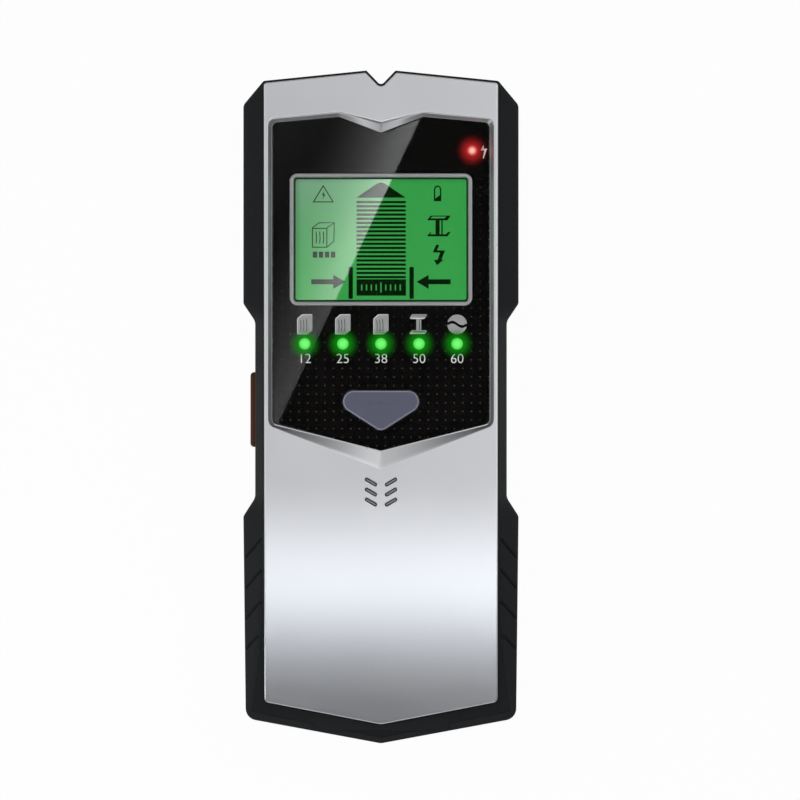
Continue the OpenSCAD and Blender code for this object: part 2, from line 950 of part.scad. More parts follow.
module battery_terminals() {
    color([0.8, 0.8, 0.78]) {
        contact(-1, plus_d, contact_h);
        contact(1, minus_d, contact_h);
    }
}

module battery_snap() {
    snap_w = battery_w - 2 * snap_side;
    color([0.08, 0.08, 0.08]) difference() {
        translate([0, snap_end_y, battery_mid_z]) rotate([90, 0, 0])
            linear_extrude(snap_t) rounded_box(snap_w, snap_h, snap_r);
        contact(-1, plus_d + 2 * fit, contact_h + fit);
        contact(1, minus_d + 2 * fit, contact_h + fit);
    }
}

// A wire from the snap, along +Y, bending up to the main board
module lead(x) {
    bend_y = snap_end_y + lead_run;
    translate([x, snap_end_y, lead_z]) rotate([-90, 0, 0]) cylinder(d = lead_d, h = lead_run);
    translate([x, bend_y, lead_z + lead_bend]) rotate([0, 90, 0]) rotate_extrude(angle = 90)
        translate([lead_bend, 0]) circle(d = lead_d);
    translate([x, bend_y + lead_bend, lead_z + lead_bend]) cylinder(d = lead_d, h = lead_rise);
}

module lead_red() {
    color([0.75, 0.1, 0.08]) lead(-lead_x);
}

module lead_black() {
    color([0.05, 0.05, 0.05]) lead(lead_x);
}

// Fasteners

module case_screws() {
    color([0.55, 0.55, 0.57]) at_each(case_posts, head_seat_z) mirror([0, 0, 1])
        screw(case_screw_d, post_split_z - head_seat_z + case_bite - tip_gap, head_d, head_h);
}

module board_screws() {
    color([0.6, 0.6, 0.62]) at_each(posts, board_z) mirror([0, 0, 1])
        screw(board_screw_d, board_t + post_bite - tip_gap, board_head_d, board_head_h);
}

module sensor_screws() {
    color([0.6, 0.6, 0.62]) at_each(sensor_posts, sensor_z + board_t)
        screw(board_screw_d, board_t + sensor_bite - sensor_tip_gap, board_head_d, board_head_h);
}

front_cover();
rear_housing();
grip_sleeve();
display_lens();
graphic_film();
lcd_bezel();
lcd_glass();
lcd_backlight();
zebra_strips();
status_leds();
warning_led();
main_board();
controller_chip();
signal_chips();
mode_button();
mode_plunger();
mode_switch();
scan_button();
scan_plunger();
scan_switch();
buzzer();
sensor_board();
sensor_plates();
metal_coil();
board_header();
battery();
battery_terminals();
battery_snap();
lead_red();
lead_black();
battery_door();
case_screws();
board_screws();
sensor_screws();
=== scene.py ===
import math

import bmesh
import bpy
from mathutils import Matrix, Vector, geometry


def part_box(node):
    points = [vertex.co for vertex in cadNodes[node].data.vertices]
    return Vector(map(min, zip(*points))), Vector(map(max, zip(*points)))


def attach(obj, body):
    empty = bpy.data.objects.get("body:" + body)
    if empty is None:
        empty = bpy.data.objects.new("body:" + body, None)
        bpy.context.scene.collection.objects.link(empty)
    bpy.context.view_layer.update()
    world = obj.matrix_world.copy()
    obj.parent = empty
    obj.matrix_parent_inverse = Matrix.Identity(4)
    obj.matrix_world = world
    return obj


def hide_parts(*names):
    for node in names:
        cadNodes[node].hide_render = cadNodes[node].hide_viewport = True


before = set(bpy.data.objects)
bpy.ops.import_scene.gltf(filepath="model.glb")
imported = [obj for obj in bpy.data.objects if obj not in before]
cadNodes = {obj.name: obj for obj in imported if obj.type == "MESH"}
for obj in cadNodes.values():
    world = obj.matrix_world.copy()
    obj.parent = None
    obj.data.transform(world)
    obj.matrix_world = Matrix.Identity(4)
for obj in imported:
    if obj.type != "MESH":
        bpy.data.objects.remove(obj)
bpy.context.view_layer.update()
mm = 0.001
scene = bpy.context.scene
scene.view_settings.view_transform = "Standard"


# Low and high corner of a node's box, in millimetres
def nodeBox(name):
    low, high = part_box(name)
    return [v / mm for v in low], [v / mm for v in high]


coverHigh = nodeBox("front_cover")[1]
sleeveLow, sleeveHigh = nodeBox("grip_sleeve")
lensLow, lensHigh = nodeBox("display_lens")
filmLow = nodeBox("graphic_film")[0]
panelLow, panelHigh = nodeBox("lcd_glass")
lampLow, lampHigh = nodeBox("status_leds")
warnLow, warnHigh = nodeBox("warning_led")
keyLow, keyHigh = nodeBox("mode_button")
scanLow, scanHigh = nodeBox("scan_button")
doorHigh = nodeBox("battery_door")[1]
batteryHigh = nodeBox("battery")[1]
print("frame loaded", len(cadNodes), "nodes")


def addObject(name, data):
    obj = bpy.data.objects.new(name, data)
    scene.collection.objects.link(obj)
    return obj


# Camera: straight down on the face, one picture pixel is about a quarter of a millimetre
cameraPlan = {"middle": (4.75, 1.775), "level": 25.0, "span": 199.6, "lens": 1600.0, "sensor": 36.0}


def makeCamera():
    data = bpy.data.cameras.new("photoCamera")
    data.lens = cameraPlan["lens"]
    data.sensor_width = cameraPlan["sensor"]
    data.clip_end = 20
    rise = cameraPlan["span"] * cameraPlan["lens"] / cameraPlan["sensor"]
    x, y = cameraPlan["middle"]
    scene.camera = addObject("photoCamera", data)
    scene.camera.location = (x * mm, y * mm, (cameraPlan["level"] + rise) * mm)
    return rise + cameraPlan["level"]


cameraRise = makeCamera()


# Outlines in millimetres: corners are (x, y, radius), clockwise from the top

def mirrorHalf(half):
    return half + [(-x, y, r) for x, y, r in reversed(half) if x > 0]


# Rounded corners, with extra points along the sides that fill names
def filletLoop(corners, steps=6, fill=None, most=0.45):
    count = len(corners)
    arcs = []
    for i, (x, y, r) in enumerate(corners):
        here = Vector((x, y))
        back = Vector(corners[i - 1][:2]) - here
        ahead = Vector(corners[(i + 1) % count][:2]) - here
        half = back.angle(ahead) / 2
        reach = max(min(r / math.tan(half), most * back.length, most * ahead.length), 0.01)
        start = here + back.normalized() * reach
        end = here + ahead.normalized() * reach
        weight = math.sin(half)
        arc = []
        for k in range(steps + 1):
            s = k / steps
            a, b, c = (1 - s) ** 2, 2 * s * (1 - s) * weight, s * s
            arc.append((start * a + here * b + end * c) / (a + b + c))
        arcs.append(arc)
    points = []
    for i, arc in enumerate(arcs):
        points += arc
        extra = (fill or {}).get(i, 0)
        a, b = arc[-1], arcs[(i + 1) % count][0]
        points += [a.lerp(b, (k + 1) / (extra + 1)) for k in range(extra)]
    return points


def bothSides(fill, halfCount):
    return {**fill, **{2 * halfCount - 3 - i: n for i, n in fill.items()}}


def insetCorners(corners, inset):
    count = len(corners)
    area = sum(corners[i - 1][0] * corners[i][1] - corners[i][0] * corners[i - 1][1] for i in range(count))
    side = 1 if area < 0 else -1
    result = []
    for i, (x, y, r) in enumerate(corners):
        before = (Vector((x, y)) - Vector(corners[i - 1][:2])).normalized()
        after = (Vector(corners[(i + 1) % count][:2]) - Vector((x, y))).normalized()
        inA = Vector((before.y, -before.x)) * side
        inB = Vector((after.y, -after.x)) * side
        move = (inA + inB) * (inset / (1 + inA.dot(inB)))
        convex = (before.x * after.y - before.y * after.x) * side < 0
        result.append((x + move.x, y + move.y, max(r - inset if convex else r + inset, 0.05)))
    return result


def boxCorners(w, l, r, x=0.0, y=0.0):
    return [(x + i * w / 2, y + j * l / 2, r) for i, j in ((1, 1), (1, -1), (-1, -1), (-1, 1))]


def circleLoop(x, y, r, count=32):
    turn = 2 * math.pi / count
    return [Vector((x + r * math.cos(-i * turn), y + r * math.sin(-i * turn))) for i in range(count)]


# A rounded edge over a quarter turn, as (r less its cosine, r less its sine)
def quarterTurn(r, count):
    turns = [math.radians(90 / (count - 1) * i) for i in range(count)]
    return [(r * (1 - math.cos(t)), r * (1 - math.sin(t))) for t in turns]


# Shells: points and faces are gathered ring by ring

def newShell():
    return {"points": [], "faces": []}


def addPoints(shell, points):
    start = len(shell["points"])
    shell["points"] += [tuple(p) for p in points]
    return list(range(start, start + len(points)))


def addRing(shell, loop, height):
    return addPoints(shell, [(x, y, height(x, y) if callable(height) else height) for x, y in loop])


def joinRings(shell, *rings):
    for a, b in zip(rings, rings[1:]):
        n = len(a)
        shell["faces"] += [(a[i], a[(i + 1) % n], b[(i + 1) % n], b[i]) for i in range(n)]


def crossings(point, loops):
    count = 0
    for loop in loops:
        for i, b in enumerate(loop):
            a = loop[i - 1]
            if (a.y > point.y) != (b.y > point.y):
                count += point.x < a.x + (point.y - a.y) * (b.x - a.x) / (b.y - a.y)
    return count


# Triangles between the rings: each region bounded by ring edges is kept or dropped as a whole
def fillRings(shell, rings, spots=()):
    keys = [k for ring in rings for k in ring] + list(spots)
    flat = [Vector(shell["points"][k][:2]) for k in keys]
    edges = []
    loops = []
    start = 0
    for ring in rings:
        n = len(ring)
        edges += [(start + i, start + (i + 1) % n) for i in range(n)]
        loops.append(flat[start:start + n])
        start += n
    verts, lines, faces, fromVerts, fromLines, unused = geometry.delaunay_2d_cdt(flat, edges, [], 0, 1e-6)
    walls = {frozenset(line) for line, source in zip(lines, fromLines) if source}
    sharing = {}
    for i, face in enumerate(faces):
        for k in range(3):
            sharing.setdefault(frozenset((face[k - 1], face[k])), []).append(i)
    seen = set()
    for first in range(len(faces)):
        if first in seen:
            continue
        region, queue = [], [first]
        seen.add(first)
        while queue:
            i = queue.pop()
            region.append(i)
            for k in range(3):
                edge = frozenset((faces[i][k - 1], faces[i][k]))
                if edge in walls:
                    continue
                for other in sharing[edge]:
                    if other not in seen:
                        seen.add(other)
                        queue.append(other)
        areas = {i: abs(geometry.area_tri(*(verts[v] for v in faces[i]))) for i in region}
        main = max(areas, key=areas.get)
        middle = sum((verts[v] for v in faces[main]), Vector((0, 0))) / 3
        if areas[main] > 1e-5 and crossings(middle, loops) % 2:
            shell["faces"] += [tuple(keys[fromVerts[v][0]] for v in faces[i]) for i in region]


def closeRings(shell, rings):
    joinRings(shell, *rings)
    fillRings(shell, [rings[0]])
    fillRings(shell, [rings[-1]])


def addPlate(shell, loops, low, high):
    tops = [addRing(shell, loop, high) for loop in loops]
    bottoms = [addRing(shell, loop, low) for loop in loops]
    fillRings(shell, tops)
    fillRings(shell, bottoms)
    for top, bottom in zip(tops, bottoms):
        joinRings(shell, top, bottom)


def addLathe(shell, profile, x, y, count=32):
    closeRings(shell, [addRing(shell, circleLoop(x, y, r, count), z) for r, z in profile])


# A small bar from (grow, level) layers round one outline
def addBar(shell, corners, layers):
    closeRings(shell, [addRing(shell, filletLoop(insetCorners(corners, -grow), 6), z) for grow, z in layers])


def rawPiece(name, shell, merge=0.002):
    mesh = bpy.data.meshes.new(name)
    mesh.from_pydata([[c * mm for c in p] for p in shell["points"]], [], shell["faces"])
    obj = addObject(name, mesh)
    cleanMesh(obj, merge)
    return obj


def cleanMesh(obj, merge):
    work = bmesh.new()
    work.from_mesh(obj.data)
    bmesh.ops.remove_doubles(work, verts=work.verts, dist=merge * mm)
    bmesh.ops.dissolve_degenerate(work, edges=work.edges, dist=merge * mm / 4)
    bmesh.ops.recalc_face_normals(work, faces=work.faces)
    openEdges = sum(not e.is_manifold for e in work.edges)
    print("  mesh", obj.name, len(work.faces), "faces", openEdges, "open edges")
    work.to_mesh(obj.data)
    work.free()


def carve(obj, tools, operation="DIFFERENCE"):
    for tool in tools:
        step = obj.modifiers.new("carve", "BOOLEAN")
        step.operation = operation
        step.solver = "EXACT"
        step.object = tool
    takeModifiers(obj)
    for tool in tools:
        bpy.data.objects.remove(tool)


def shownMesh(obj):
    bpy.context.view_layer.update()
    graph = bpy.context.evaluated_depsgraph_get()
    return bpy.data.meshes.new_from_object(obj.evaluated_get(graph))


def takeModifiers(obj):
    made = shownMesh(obj)
    obj.modifiers.clear()
    old = obj.data
    obj.data = made
    made.name = obj.name
    bpy.data.meshes.remove(old)


def dressPiece(obj, look, body="case", stands=(), sharp=40, weigh=True):
    obj.data.materials.clear()
    obj.data.materials.append(look)
    obj.data.shade_smooth()
    obj.data.set_sharp_from_angle(angle=math.radians(sharp))
    if weigh:
        step = obj.modifiers.new("weigh", "WEIGHTED_NORMAL")
        step.keep_sharp = True
        takeModifiers(obj)
    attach(obj, body)
    if stands:
        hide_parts(*stands)


# Nodes: an input takes a value, a colour or another node's output

def feed(tree, node, feeds):
    for key, value in feeds.items():
        socket = node.inputs[key]
        if isinstance(value, bpy.types.NodeSocket):
            tree.links.new(value, socket)
        else:
            socket.default_value = (*value, 1) if socket.type == "RGBA" else value


def place(tree, kind, feeds=None, **values):
    node = tree.nodes.new("ShaderNode" + kind)
    for key, value in values.items():
        setattr(node, key, value)
    feed(tree, node, feeds or {})
    return node


def mathNode(tree, operation, *values):
    return place(tree, "Math", dict(enumerate(values)), operation=operation).outputs[0]


def vectorNode(tree, operation, feeds, output=0):
    return place(tree, "VectorMath", feeds, operation=operation).outputs[output]


def spanValue(tree, value, low, high, start=0.0, end=1.0, **values):
    feeds = {"Value": value, "From Min": start, "From Max": end, "To Min": low, "To Max": high}
    return place(tree, "MapRange", feeds, **values).outputs["Result"]


def mixColours(tree, factor, a, b):
    return place(tree, "Mix", {"Factor": factor, "A": a, "B": b}, data_type="RGBA").outputs["Result"]


def mixShaders(tree, factor, a, b):
    return place(tree, "MixShader", {0: factor, 1: a, 2: b}).outputs[0]


def spotOf(tree, kind="Object"):
    return place(tree, "TexCoord").outputs[kind]


def axesOf(tree, spot):
    return place(tree, "SeparateXYZ", {0: spot}).outputs


def flatLength(tree, vector):
    return vectorNode(tree, "LENGTH", {0: vectorNode(tree, "MULTIPLY", {0: vector, 1: (1, 1, 0)})}, "Value")


# Position along a slanting line in the XY plane
def slantOf(tree, axes, dx, dy):
    return mathNode(tree, "MULTIPLY_ADD", axes["X"], dx, mathNode(tree, "MULTIPLY", axes["Y"], dy))


def rampOf(tree, value, steps, reach):
    ramp = place(tree, "ValToRGB", {0: value})
    marks = ramp.color_ramp.elements
    while len(marks) < len(steps):
        marks.new(0.5)
    for mark, (away, shade) in zip(marks, steps):
        mark.position = away / reach
        mark.color = (shade, shade, shade, 1)
    return ramp.outputs["Color"]


def showSurface(tree, output):
    feed(tree, tree.nodes["Material Output"], {"Surface": output})


# Finishes: shared effects are node groups, the shaders stay in each material

def newGroup(name, inputs, outputs):
    group = bpy.data.node_groups.new(name, "ShaderNodeTree")
    for label, value in inputs.items():
        socket = group.interface.new_socket(label, in_out="INPUT", socket_type="NodeSocketFloat")
        socket.default_value = value
    for label in outputs:
        group.interface.new_socket(label, in_out="OUTPUT", socket_type="NodeSocketFloat")
    return group, group.nodes.new("NodeGroupInput").outputs, group.nodes.new("NodeGroupOutput")


def makeGrainGroup():
    group, given, out = newGroup("mouldGrain", {"Scale": 900.0}, ["Tint", "Sheen", "Height"])
    spot = spotOf(group)
    fine = place(group, "TexNoise", {"Vector": spot, "Scale": given["Scale"], "Detail": 3}).outputs["Fac"]
    cells = place(group, "TexVoronoi", {"Vector": spot, "Scale": given["Scale"]}).outputs["Distance"]
    broad = place(group, "TexNoise", {"Vector": spot, "Scale": 45, "Detail": 4}).outputs["Fac"]
    tint = mathNode(group, "MULTIPLY_ADD", fine, 0.5, mathNode(group, "MULTIPLY", broad, 0.5))
    height = mathNode(group, "MULTIPLY_ADD", cells, 0.6, mathNode(group, "MULTIPLY", fine, 0.4))
    feed(group, out, {"Tint": tint, "Sheen": broad, "Height": height})
    return group


def makeSmudgeGroup():
    group, given, out = newGroup("handSmudge", {"Scale": 60.0, "Cover": 0.5}, ["Mask"])
    cloud = place(group, "TexNoise", {"Vector": spotOf(group), "Scale": given["Scale"], "Detail": 6})
    ends = (0.0, 1.0, given["Cover"], 0.8)
    feed(group, out, {"Mask": spanValue(group, cloud.outputs["Fac"], *ends, interpolation_type="SMOOTHSTEP")})
    return group


def makeGlowGroup():
    group, given, out = newGroup("lampGlow", {"Inner": 0.001, "Outer": 0.004}, ["Mask"])
    away = flatLength(group, spotOf(group))
    feed(group, out, {"Mask": spanValue(group, away, 1.0, 0.0, given["Inner"], given["Outer"])})
    return group


grainGroup = makeGrainGroup()
smudgeGroup = makeSmudgeGroup()
glowGroup = makeGlowGroup()


def useGroup(tree, group, **values):
    return place(tree, "Group", values, node_tree=group).outputs


def newLook(name):
    look = bpy.data.materials.new(name)
    look.use_nodes = True
    return look, look.node_tree, look.node_tree.nodes["Principled BSDF"]


# One finish for moulded, painted and rubber surfaces: two tints, a roughness span and a bump
def mouldedLook(name, dark, light, rough, grain, bump, depth, metallic=0.0, level=0.5, smudged=0.35):
    look, tree, shader = newLook(name)
    grains = useGroup(tree, grainGroup, Scale=grain)
    worn = grains["Sheen"]
    if smudged:
        smudge = useGroup(tree, smudgeGroup, Scale=70.0, Cover=0.45)["Mask"]
        worn = mathNode(tree, "MULTIPLY_ADD", smudge, smudged, mathNode(tree, "MULTIPLY", worn, 1 - smudged))
    dent = place(tree, "Bump", {"Strength": bump, "Distance": depth * mm, "Height": grains["Height"]})
    feed(tree, shader, {
        "Base Color": mixColours(tree, grains["Tint"], dark, light),
        "Roughness": spanValue(tree, worn, *rough),
        "Normal": dent.outputs["Normal"], "Metallic": metallic, "Specular IOR Level": level})
    return look


# Values in the order that mouldedLook takes them; the bump's depth is in millimetres
mouldedPlan = {
    "silverPaint": ((0.68, 0.69, 0.71), (0.73, 0.74, 0.76), (0.265, 0.295), 2600, 0.012, 0.02, 1.0, 0.5, 0),
    "blackShell": ((0.0095, 0.0105, 0.011), (0.016, 0.0175, 0.0185), (0.42, 0.6), 1500, 0.3, 0.05, 0.0, 0.12),
    "gripRubber": ((0.0162, 0.018, 0.019), (0.0265, 0.0292, 0.0305), (0.5, 0.68), 1900, 0.35, 0.05, 0, 0.07),
    "frameSilver": ((0.29, 0.295, 0.3), (0.34, 0.345, 0.35), (0.28, 0.36), 2600, 0.05, 0.02, 1.0),
    "keyRed": ((0.092, 0.032, 0.017), (0.13, 0.046, 0.025), (0.36, 0.5), 1500, 0.12, 0.03, 0.0, 0.1),
    "screenGrey": ((0.26, 0.265, 0.27), (0.36, 0.365, 0.37), (0.5, 0.65), 2600, 0.2, 0.03),
    "whitePrint": ((0.84, 0.85, 0.84), (0.94, 0.95, 0.94), (0.45, 0.6), 3000, 0.05, 0.01),
    "greyPrint": ((0.3, 0.305, 0.298), (0.43, 0.435, 0.425), (0.4, 0.55), 1600, 0.05, 0.01),
    "darkPrint": ((0.035, 0.036, 0.034), (0.07, 0.072, 0.07), (0.4, 0.55), 1600, 0.05, 0.01),
    # The next finish is the dark green of the painted shadow inside the screen frame
    "frameShadeGreen": ((0.004, 0.022, 0.008), (0.008, 0.04, 0.014), (0.5, 0.6), 1500, 0.05, 0.01, 0.0, 0.2),
    "boardGreen": ((0.012, 0.1, 0.045), (0.03, 0.16, 0.075), (0.3, 0.45), 700, 0.1, 0.03),
    "chipBlack": ((0.012, 0.012, 0.012), (0.024, 0.024, 0.024), (0.45, 0.6), 1500, 0.2, 0.03),
    "nylonBlack": ((0.02, 0.02, 0.022), (0.04, 0.04, 0.043), (0.4, 0.55), 1200, 0.2, 0.03),
    "nylonPale": ((0.52, 0.52, 0.49), (0.62, 0.62, 0.59), (0.4, 0.55), 1200, 0.15, 0.03),
    "copperBare": ((0.62, 0.28, 0.13), (0.75, 0.4, 0.22), (0.25, 0.42), 900, 0.1, 0.02, 1.0),
    "plateZinc": ((0.45, 0.45, 0.46), (0.6, 0.6, 0.61), (0.25, 0.42), 1300, 0.15, 0.02, 1.0),
    "canWrap": ((0.035, 0.04, 0.05), (0.06, 0.065, 0.08), (0.22, 0.34), 600, 0.05, 0.02),
    "stripPink": ((0.36, 0.17, 0.19), (0.48, 0.25, 0.28), (0.5, 0.65), 900, 0.2, 0.03),
    "wireRedSkin": ((0.42, 0.02, 0.015), (0.55, 0.04, 0.03), (0.35, 0.5), 900, 0.1, 0.02),
    "wireBlackSkin": ((0.012, 0.012, 0.012), (0.025, 0.025, 0.025), (0.35, 0.5), 900, 0.1, 0.02),
    "guideClear": ((0.45, 0.8, 0.42), (0.58, 0.92, 0.55), (0.3, 0.45), 900, 0.1, 0.02)}
looks = {name: mouldedLook(name, *values) for name, values in mouldedPlan.items()}


# Clear lens: light passes it unhindered on its way to the print below
def makeLensLook():
    look, tree, shader = newLook("clearLens")
    smudge = useGroup(tree, smudgeGroup, Scale=90.0, Cover=0.5)["Mask"]
    tint = mixColours(tree, smudge, (0.98, 0.985, 0.985), (0.955, 0.965, 0.965))
    feed(tree, shader, {"Base Color": tint, "Roughness": 0, "Transmission Weight": 1, "IOR": 1.12})
    shadow = place(tree, "LightPath").outputs["Is Shadow Ray"]
    passing = place(tree, "BsdfTransparent").outputs[0]
    showSurface(tree, mixShaders(tree, shadow, shader.outputs[0], passing))
    return look


# The window's film, screen and segments share one mirror gloss
mirrorGloss = (0.002, 0.006)

# Black film with a fine printed dot grid that fades towards the top left
filmPlan = {"pitch": 2.15, "dot": 0.16, "grey": (0.066, 0.061, 0.053), "black": (0.0035, 0.0032, 0.003)}


def makeFilmLook():
    look, tree, shader = newLook("filmBlack")
    spot = spotOf(tree)
    cell = vectorNode(tree, "SCALE", {0: spot, "Scale": 1 / (filmPlan["pitch"] * mm)})
    part = vectorNode(tree, "FRACTION", {0: cell})
    middle = vectorNode(tree, "SUBTRACT", {0: part, 1: (0.5, 0.5, 0.5)})
    reach = filmPlan["dot"] / filmPlan["pitch"]
    dot = spanValue(tree, flatLength(tree, middle), 1.0, 0.0, reach * 0.6, reach * 1.25)
    fade = spanValue(tree, slantOf(tree, axesOf(tree, spot), 0.5, -1.0), 0.15, 1.0, -0.05, 0.005)
    ink = mathNode(tree, "MULTIPLY", dot, fade)
    sheen = useGroup(tree, grainGroup, Scale=2200.0)["Sheen"]
    feed(tree, shader, {
        "Base Color": mixColours(tree, ink, filmPlan["black"], filmPlan["grey"]),
        "Roughness": spanValue(tree, sheen, *mirrorGloss)})
    return look


# Lit screen: green light from behind. A painted reflection adds a pale wash to its upper left, along the
# slanting glare line, and painted shade falls along its left and top by the frame
panelPlan = {
    "deep": (0.026, 0.27, 0.05), "bright": (0.038, 0.345, 0.068), "glass": 2.43, "base": (0.006, 0.02, 0.008),
    "pale": (0.29, 0.34, 0.34), "corner": (10.0, 72.5), "turn": 25.0, "glareSpread": 20.0, "fade": 53.4,
    "frame": (-21.75, 57.4), "shade": (0.01, 0.06, 0.014), "leftShadeReach": 2.0, "topShadeReach": 1.6}


def makePanelLook():
    p = panelPlan
    look, tree, shader = newLook("panelGreen")
    grains = useGroup(tree, grainGroup, Scale=500.0)
    green = mixColours(tree, grains["Sheen"], p["deep"], p["bright"])
    axes = axesOf(tree, spotOf(tree))
    turn = math.radians(p["turn"])
    across, down = (-math.cos(turn), math.sin(turn)), (-math.sin(turn), -math.cos(turn))
    # Painted reflection: a pale wash over the screen's light, spreading from the glare's slanting edge to the
    # upper left and fading along that edge
    glareMasks = []
    for (dx, dy), reach, ends in ((across, p["glareSpread"], (0, 1)), (down, p["fade"], (1, 0))):
        start = (p["corner"][0] * dx + p["corner"][1] * dy) * mm
        glareMasks.append(spanValue(tree, slantOf(tree, axes, dx, dy), *ends, start, start + reach * mm))
    paintedGlareGreen = mixColours(tree, mathNode(tree, "MULTIPLY", *glareMasks), green, p["pale"])
    # Painted shade: the light turns towards the dark shade colour along the frame's left and top edges
    left, top = (v * mm for v in p["frame"])
    beside = spanValue(tree, axes["X"], 0.55, 1.0, left, left + p["leftShadeReach"] * mm)
    below = spanValue(tree, axes["Y"], 1.0, 0.6, top - p["topShadeReach"] * mm, top)
    shadedScreenLight = mixColours(tree, mathNode(tree, "MULTIPLY", beside, below), p["shade"], paintedGlareGreen)
    feed(tree, shader, {
        "Base Color": p["base"], "Emission Color": shadedScreenLight, "Emission Strength": 1, "IOR": p["glass"],
        "Roughness": spanValue(tree, grains["Sheen"], *mirrorGloss)})
    return look


# Switched segments: black, with the mirror gloss of the polariser
def makeSegmentLook():
    look, tree, shader = newLook("segmentBlack")
    grains = useGroup(tree, grainGroup, Scale=900.0)
    feed(tree, shader, {
        "Base Color": mixColours(tree, grains["Tint"], (0.0012, 0.004, 0.0015), (0.002, 0.006, 0.0022)),
        "Roughness": spanValue(tree, grains["Sheen"], *mirrorGloss),
        "Emission Color": (0.0005, 0.008, 0.0005), "Emission Strength": 1, "IOR": 2.06})
    return look


def makeLampLook(name, core, rim, body, inner, outer, power):
    look, tree, shader = newLook(name)
    glow = useGroup(tree, glowGroup, Inner=inner * mm, Outer=outer * mm)["Mask"]
    soft = mathNode(tree, "POWER", glow, power)
    sheen = useGroup(tree, grainGroup, Scale=700.0)["Sheen"]
    feed(tree, shader, {
        "Base Color": body, "Emission Color": mixColours(tree, soft, rim, core), "Emission Strength": 1,
        "Specular IOR Level": 0.2, "Roughness": spanValue(tree, sheen, 0.15, 0.3)})
    return look


# Painted glow in the film round a lamp, from the lamp's hole outward: the film itself emits the lamp's light
lampHole = 1.5
haloReach = 4.7


def makeHaloLook(name, colour, power):
    look, tree, shader = newLook(name)
    glow = useGroup(tree, glowGroup, Inner=lampHole * mm, Outer=haloReach * mm)["Mask"]
    fall = mathNode(tree, "POWER", glow, power)
    feed(tree, shader, {
        "Base Color": (0.002, 0.002, 0.002), "Alpha": mathNode(tree, "MULTIPLY", fall, 0.62),
        "Emission Color": colour, "Emission Strength": 1, "Specular IOR Level": 0, "Roughness": 0.6})
    return look


# Front key: a painted highlight, a paler band, runs round its rounded edge
def makeKeyLook():
    look = mouldedLook("keyGrey", (0.098, 0.104, 0.165), (0.126, 0.134, 0.205), (0.4, 0.52), 1700, 0.12, 0.03)
    tree = look.node_tree
    shader = tree.nodes["Principled BSDF"]
    body = shader.inputs["Base Color"].links[0].from_socket
    level = axesOf(tree, spotOf(tree))["Z"]
    # Painted highlight: below the level of the top, on the rounded edge, the colour turns paler
    paintedEdgeHighlight = spanValue(tree, level, 1.0, 0.0, (keyHigh[2] - 0.26) * mm, (keyHigh[2] - 0.19) * mm)
    feed(tree, shader, {"Base Color": mixColours(tree, paintedEdgeHighlight, body, (0.62, 0.63, 0.76))})
    return look


keyGrey = makeKeyLook()
clearLens = makeLensLook()
filmBlack = makeFilmLook()
panelGreen = makePanelLook()
segmentBlack = makeSegmentLook()
lampPlans = {
    "lampGreen": ((0.168, 1.03, 0.168), (0.005, 0.16, 0.005), (0.02, 0.08, 0.02), 0.4, 1.85, 0.62),
    "lampRed": ((1.08, 0.5, 0.43), (0.42, 0.014, 0.014), (0.08, 0.01, 0.01), 0.45, 1.4, 1.7)}
lampGreen, lampRed = (makeLampLook(name, *values) for name, values in lampPlans.items())
haloGreen = makeHaloLook("haloGreen", (0.004, 0.265, 0.004), 2.7)
haloRed = makeHaloLook("haloRed", (0.40, 0.016, 0.016), 2.9)
print("finishes made")


# Body: straight flanks, drawn in at the back, sloping in to the cover above the crease
bodyPlan = {
    "grip": sleeveHigh[0], "waist": 31.4, "rim": 29.4, "taper": 0.6,
    "top": 84.0, "end": sleeveLow[1], "peak": 84.35, "shoulder": (29.3, 81.4), "corner": 75.4,
    "upperEnd": 25.8, "waistTop": 21.4, "waistEnd": -22.6, "lowerTop": -27.2, "slope": 0.185,
    "baseIn": 2.5, "baseRise": 5.0, "crease": 20.2, "ease": 0.8, "rimLevel": sleeveHigh[2],
    "endIn": 4.6, "rubber": 1.3, "wall": 1.8, "floor": 2.4, "split": sleeveLow[2]}
curvePlan = {"from": -18.0, "face": 260.0, "rim": 420.0}
slopeStart = bodyPlan["crease"] - bodyPlan["ease"]
endSteep = math.sqrt(1 + bodyPlan["slope"] ** 2)


def arcDrop(y, radius):
    away = max(curvePlan["from"] - y, 0.0)
    return radius - math.sqrt(radius * radius - away * away)


def faceLevel(x, y):
    return coverHigh[2] - arcDrop(y, curvePlan["face"])


def faceBelow(drop):
    return lambda x, y: faceLevel(x, y) - drop


def rimLevel(x, y):
    return bodyPlan["rimLevel"] - arcDrop(y, curvePlan["rim"])


# Level at a share of the way from the crease up to the rim, less a drop
def shareLevel(share, drop=0.0):
    return lambda x, y: slopeStart + share * (rimLevel(x, y) - drop - slopeStart)


def bodyCorners():
    b = bodyPlan
    low = b["grip"] - b["taper"]
    half = [
        (0.0, b["peak"], 3.0), (*b["shoulder"], 1.0), (b["grip"], b["corner"], 2.0),
        (b["grip"], b["upperEnd"], 1.5), (b["waist"], b["waistTop"], 3.0), (b["waist"], b["waistEnd"], 3.0),
        (b["grip"], b["lowerTop"], 1.5), (low, b["end"] + b["slope"] * low, 3.0), (0.0, b["end"], 2.5)]
    return mirrorHalf(half)


bodyFill = bothSides({1: 3, 2: 12, 3: 2, 4: 16, 5: 2, 6: 230, 7: 14}, 9)


def slopeShare(z):
    crease, ease = bodyPlan["crease"], bodyPlan["ease"]
    tall = bodyPlan["rimLevel"] - crease
    if z < crease - ease:
        return 0.0
    if z < crease + ease:
        return (z - crease + ease) ** 2 / (4 * ease) / tall
    return (z - crease) / tall


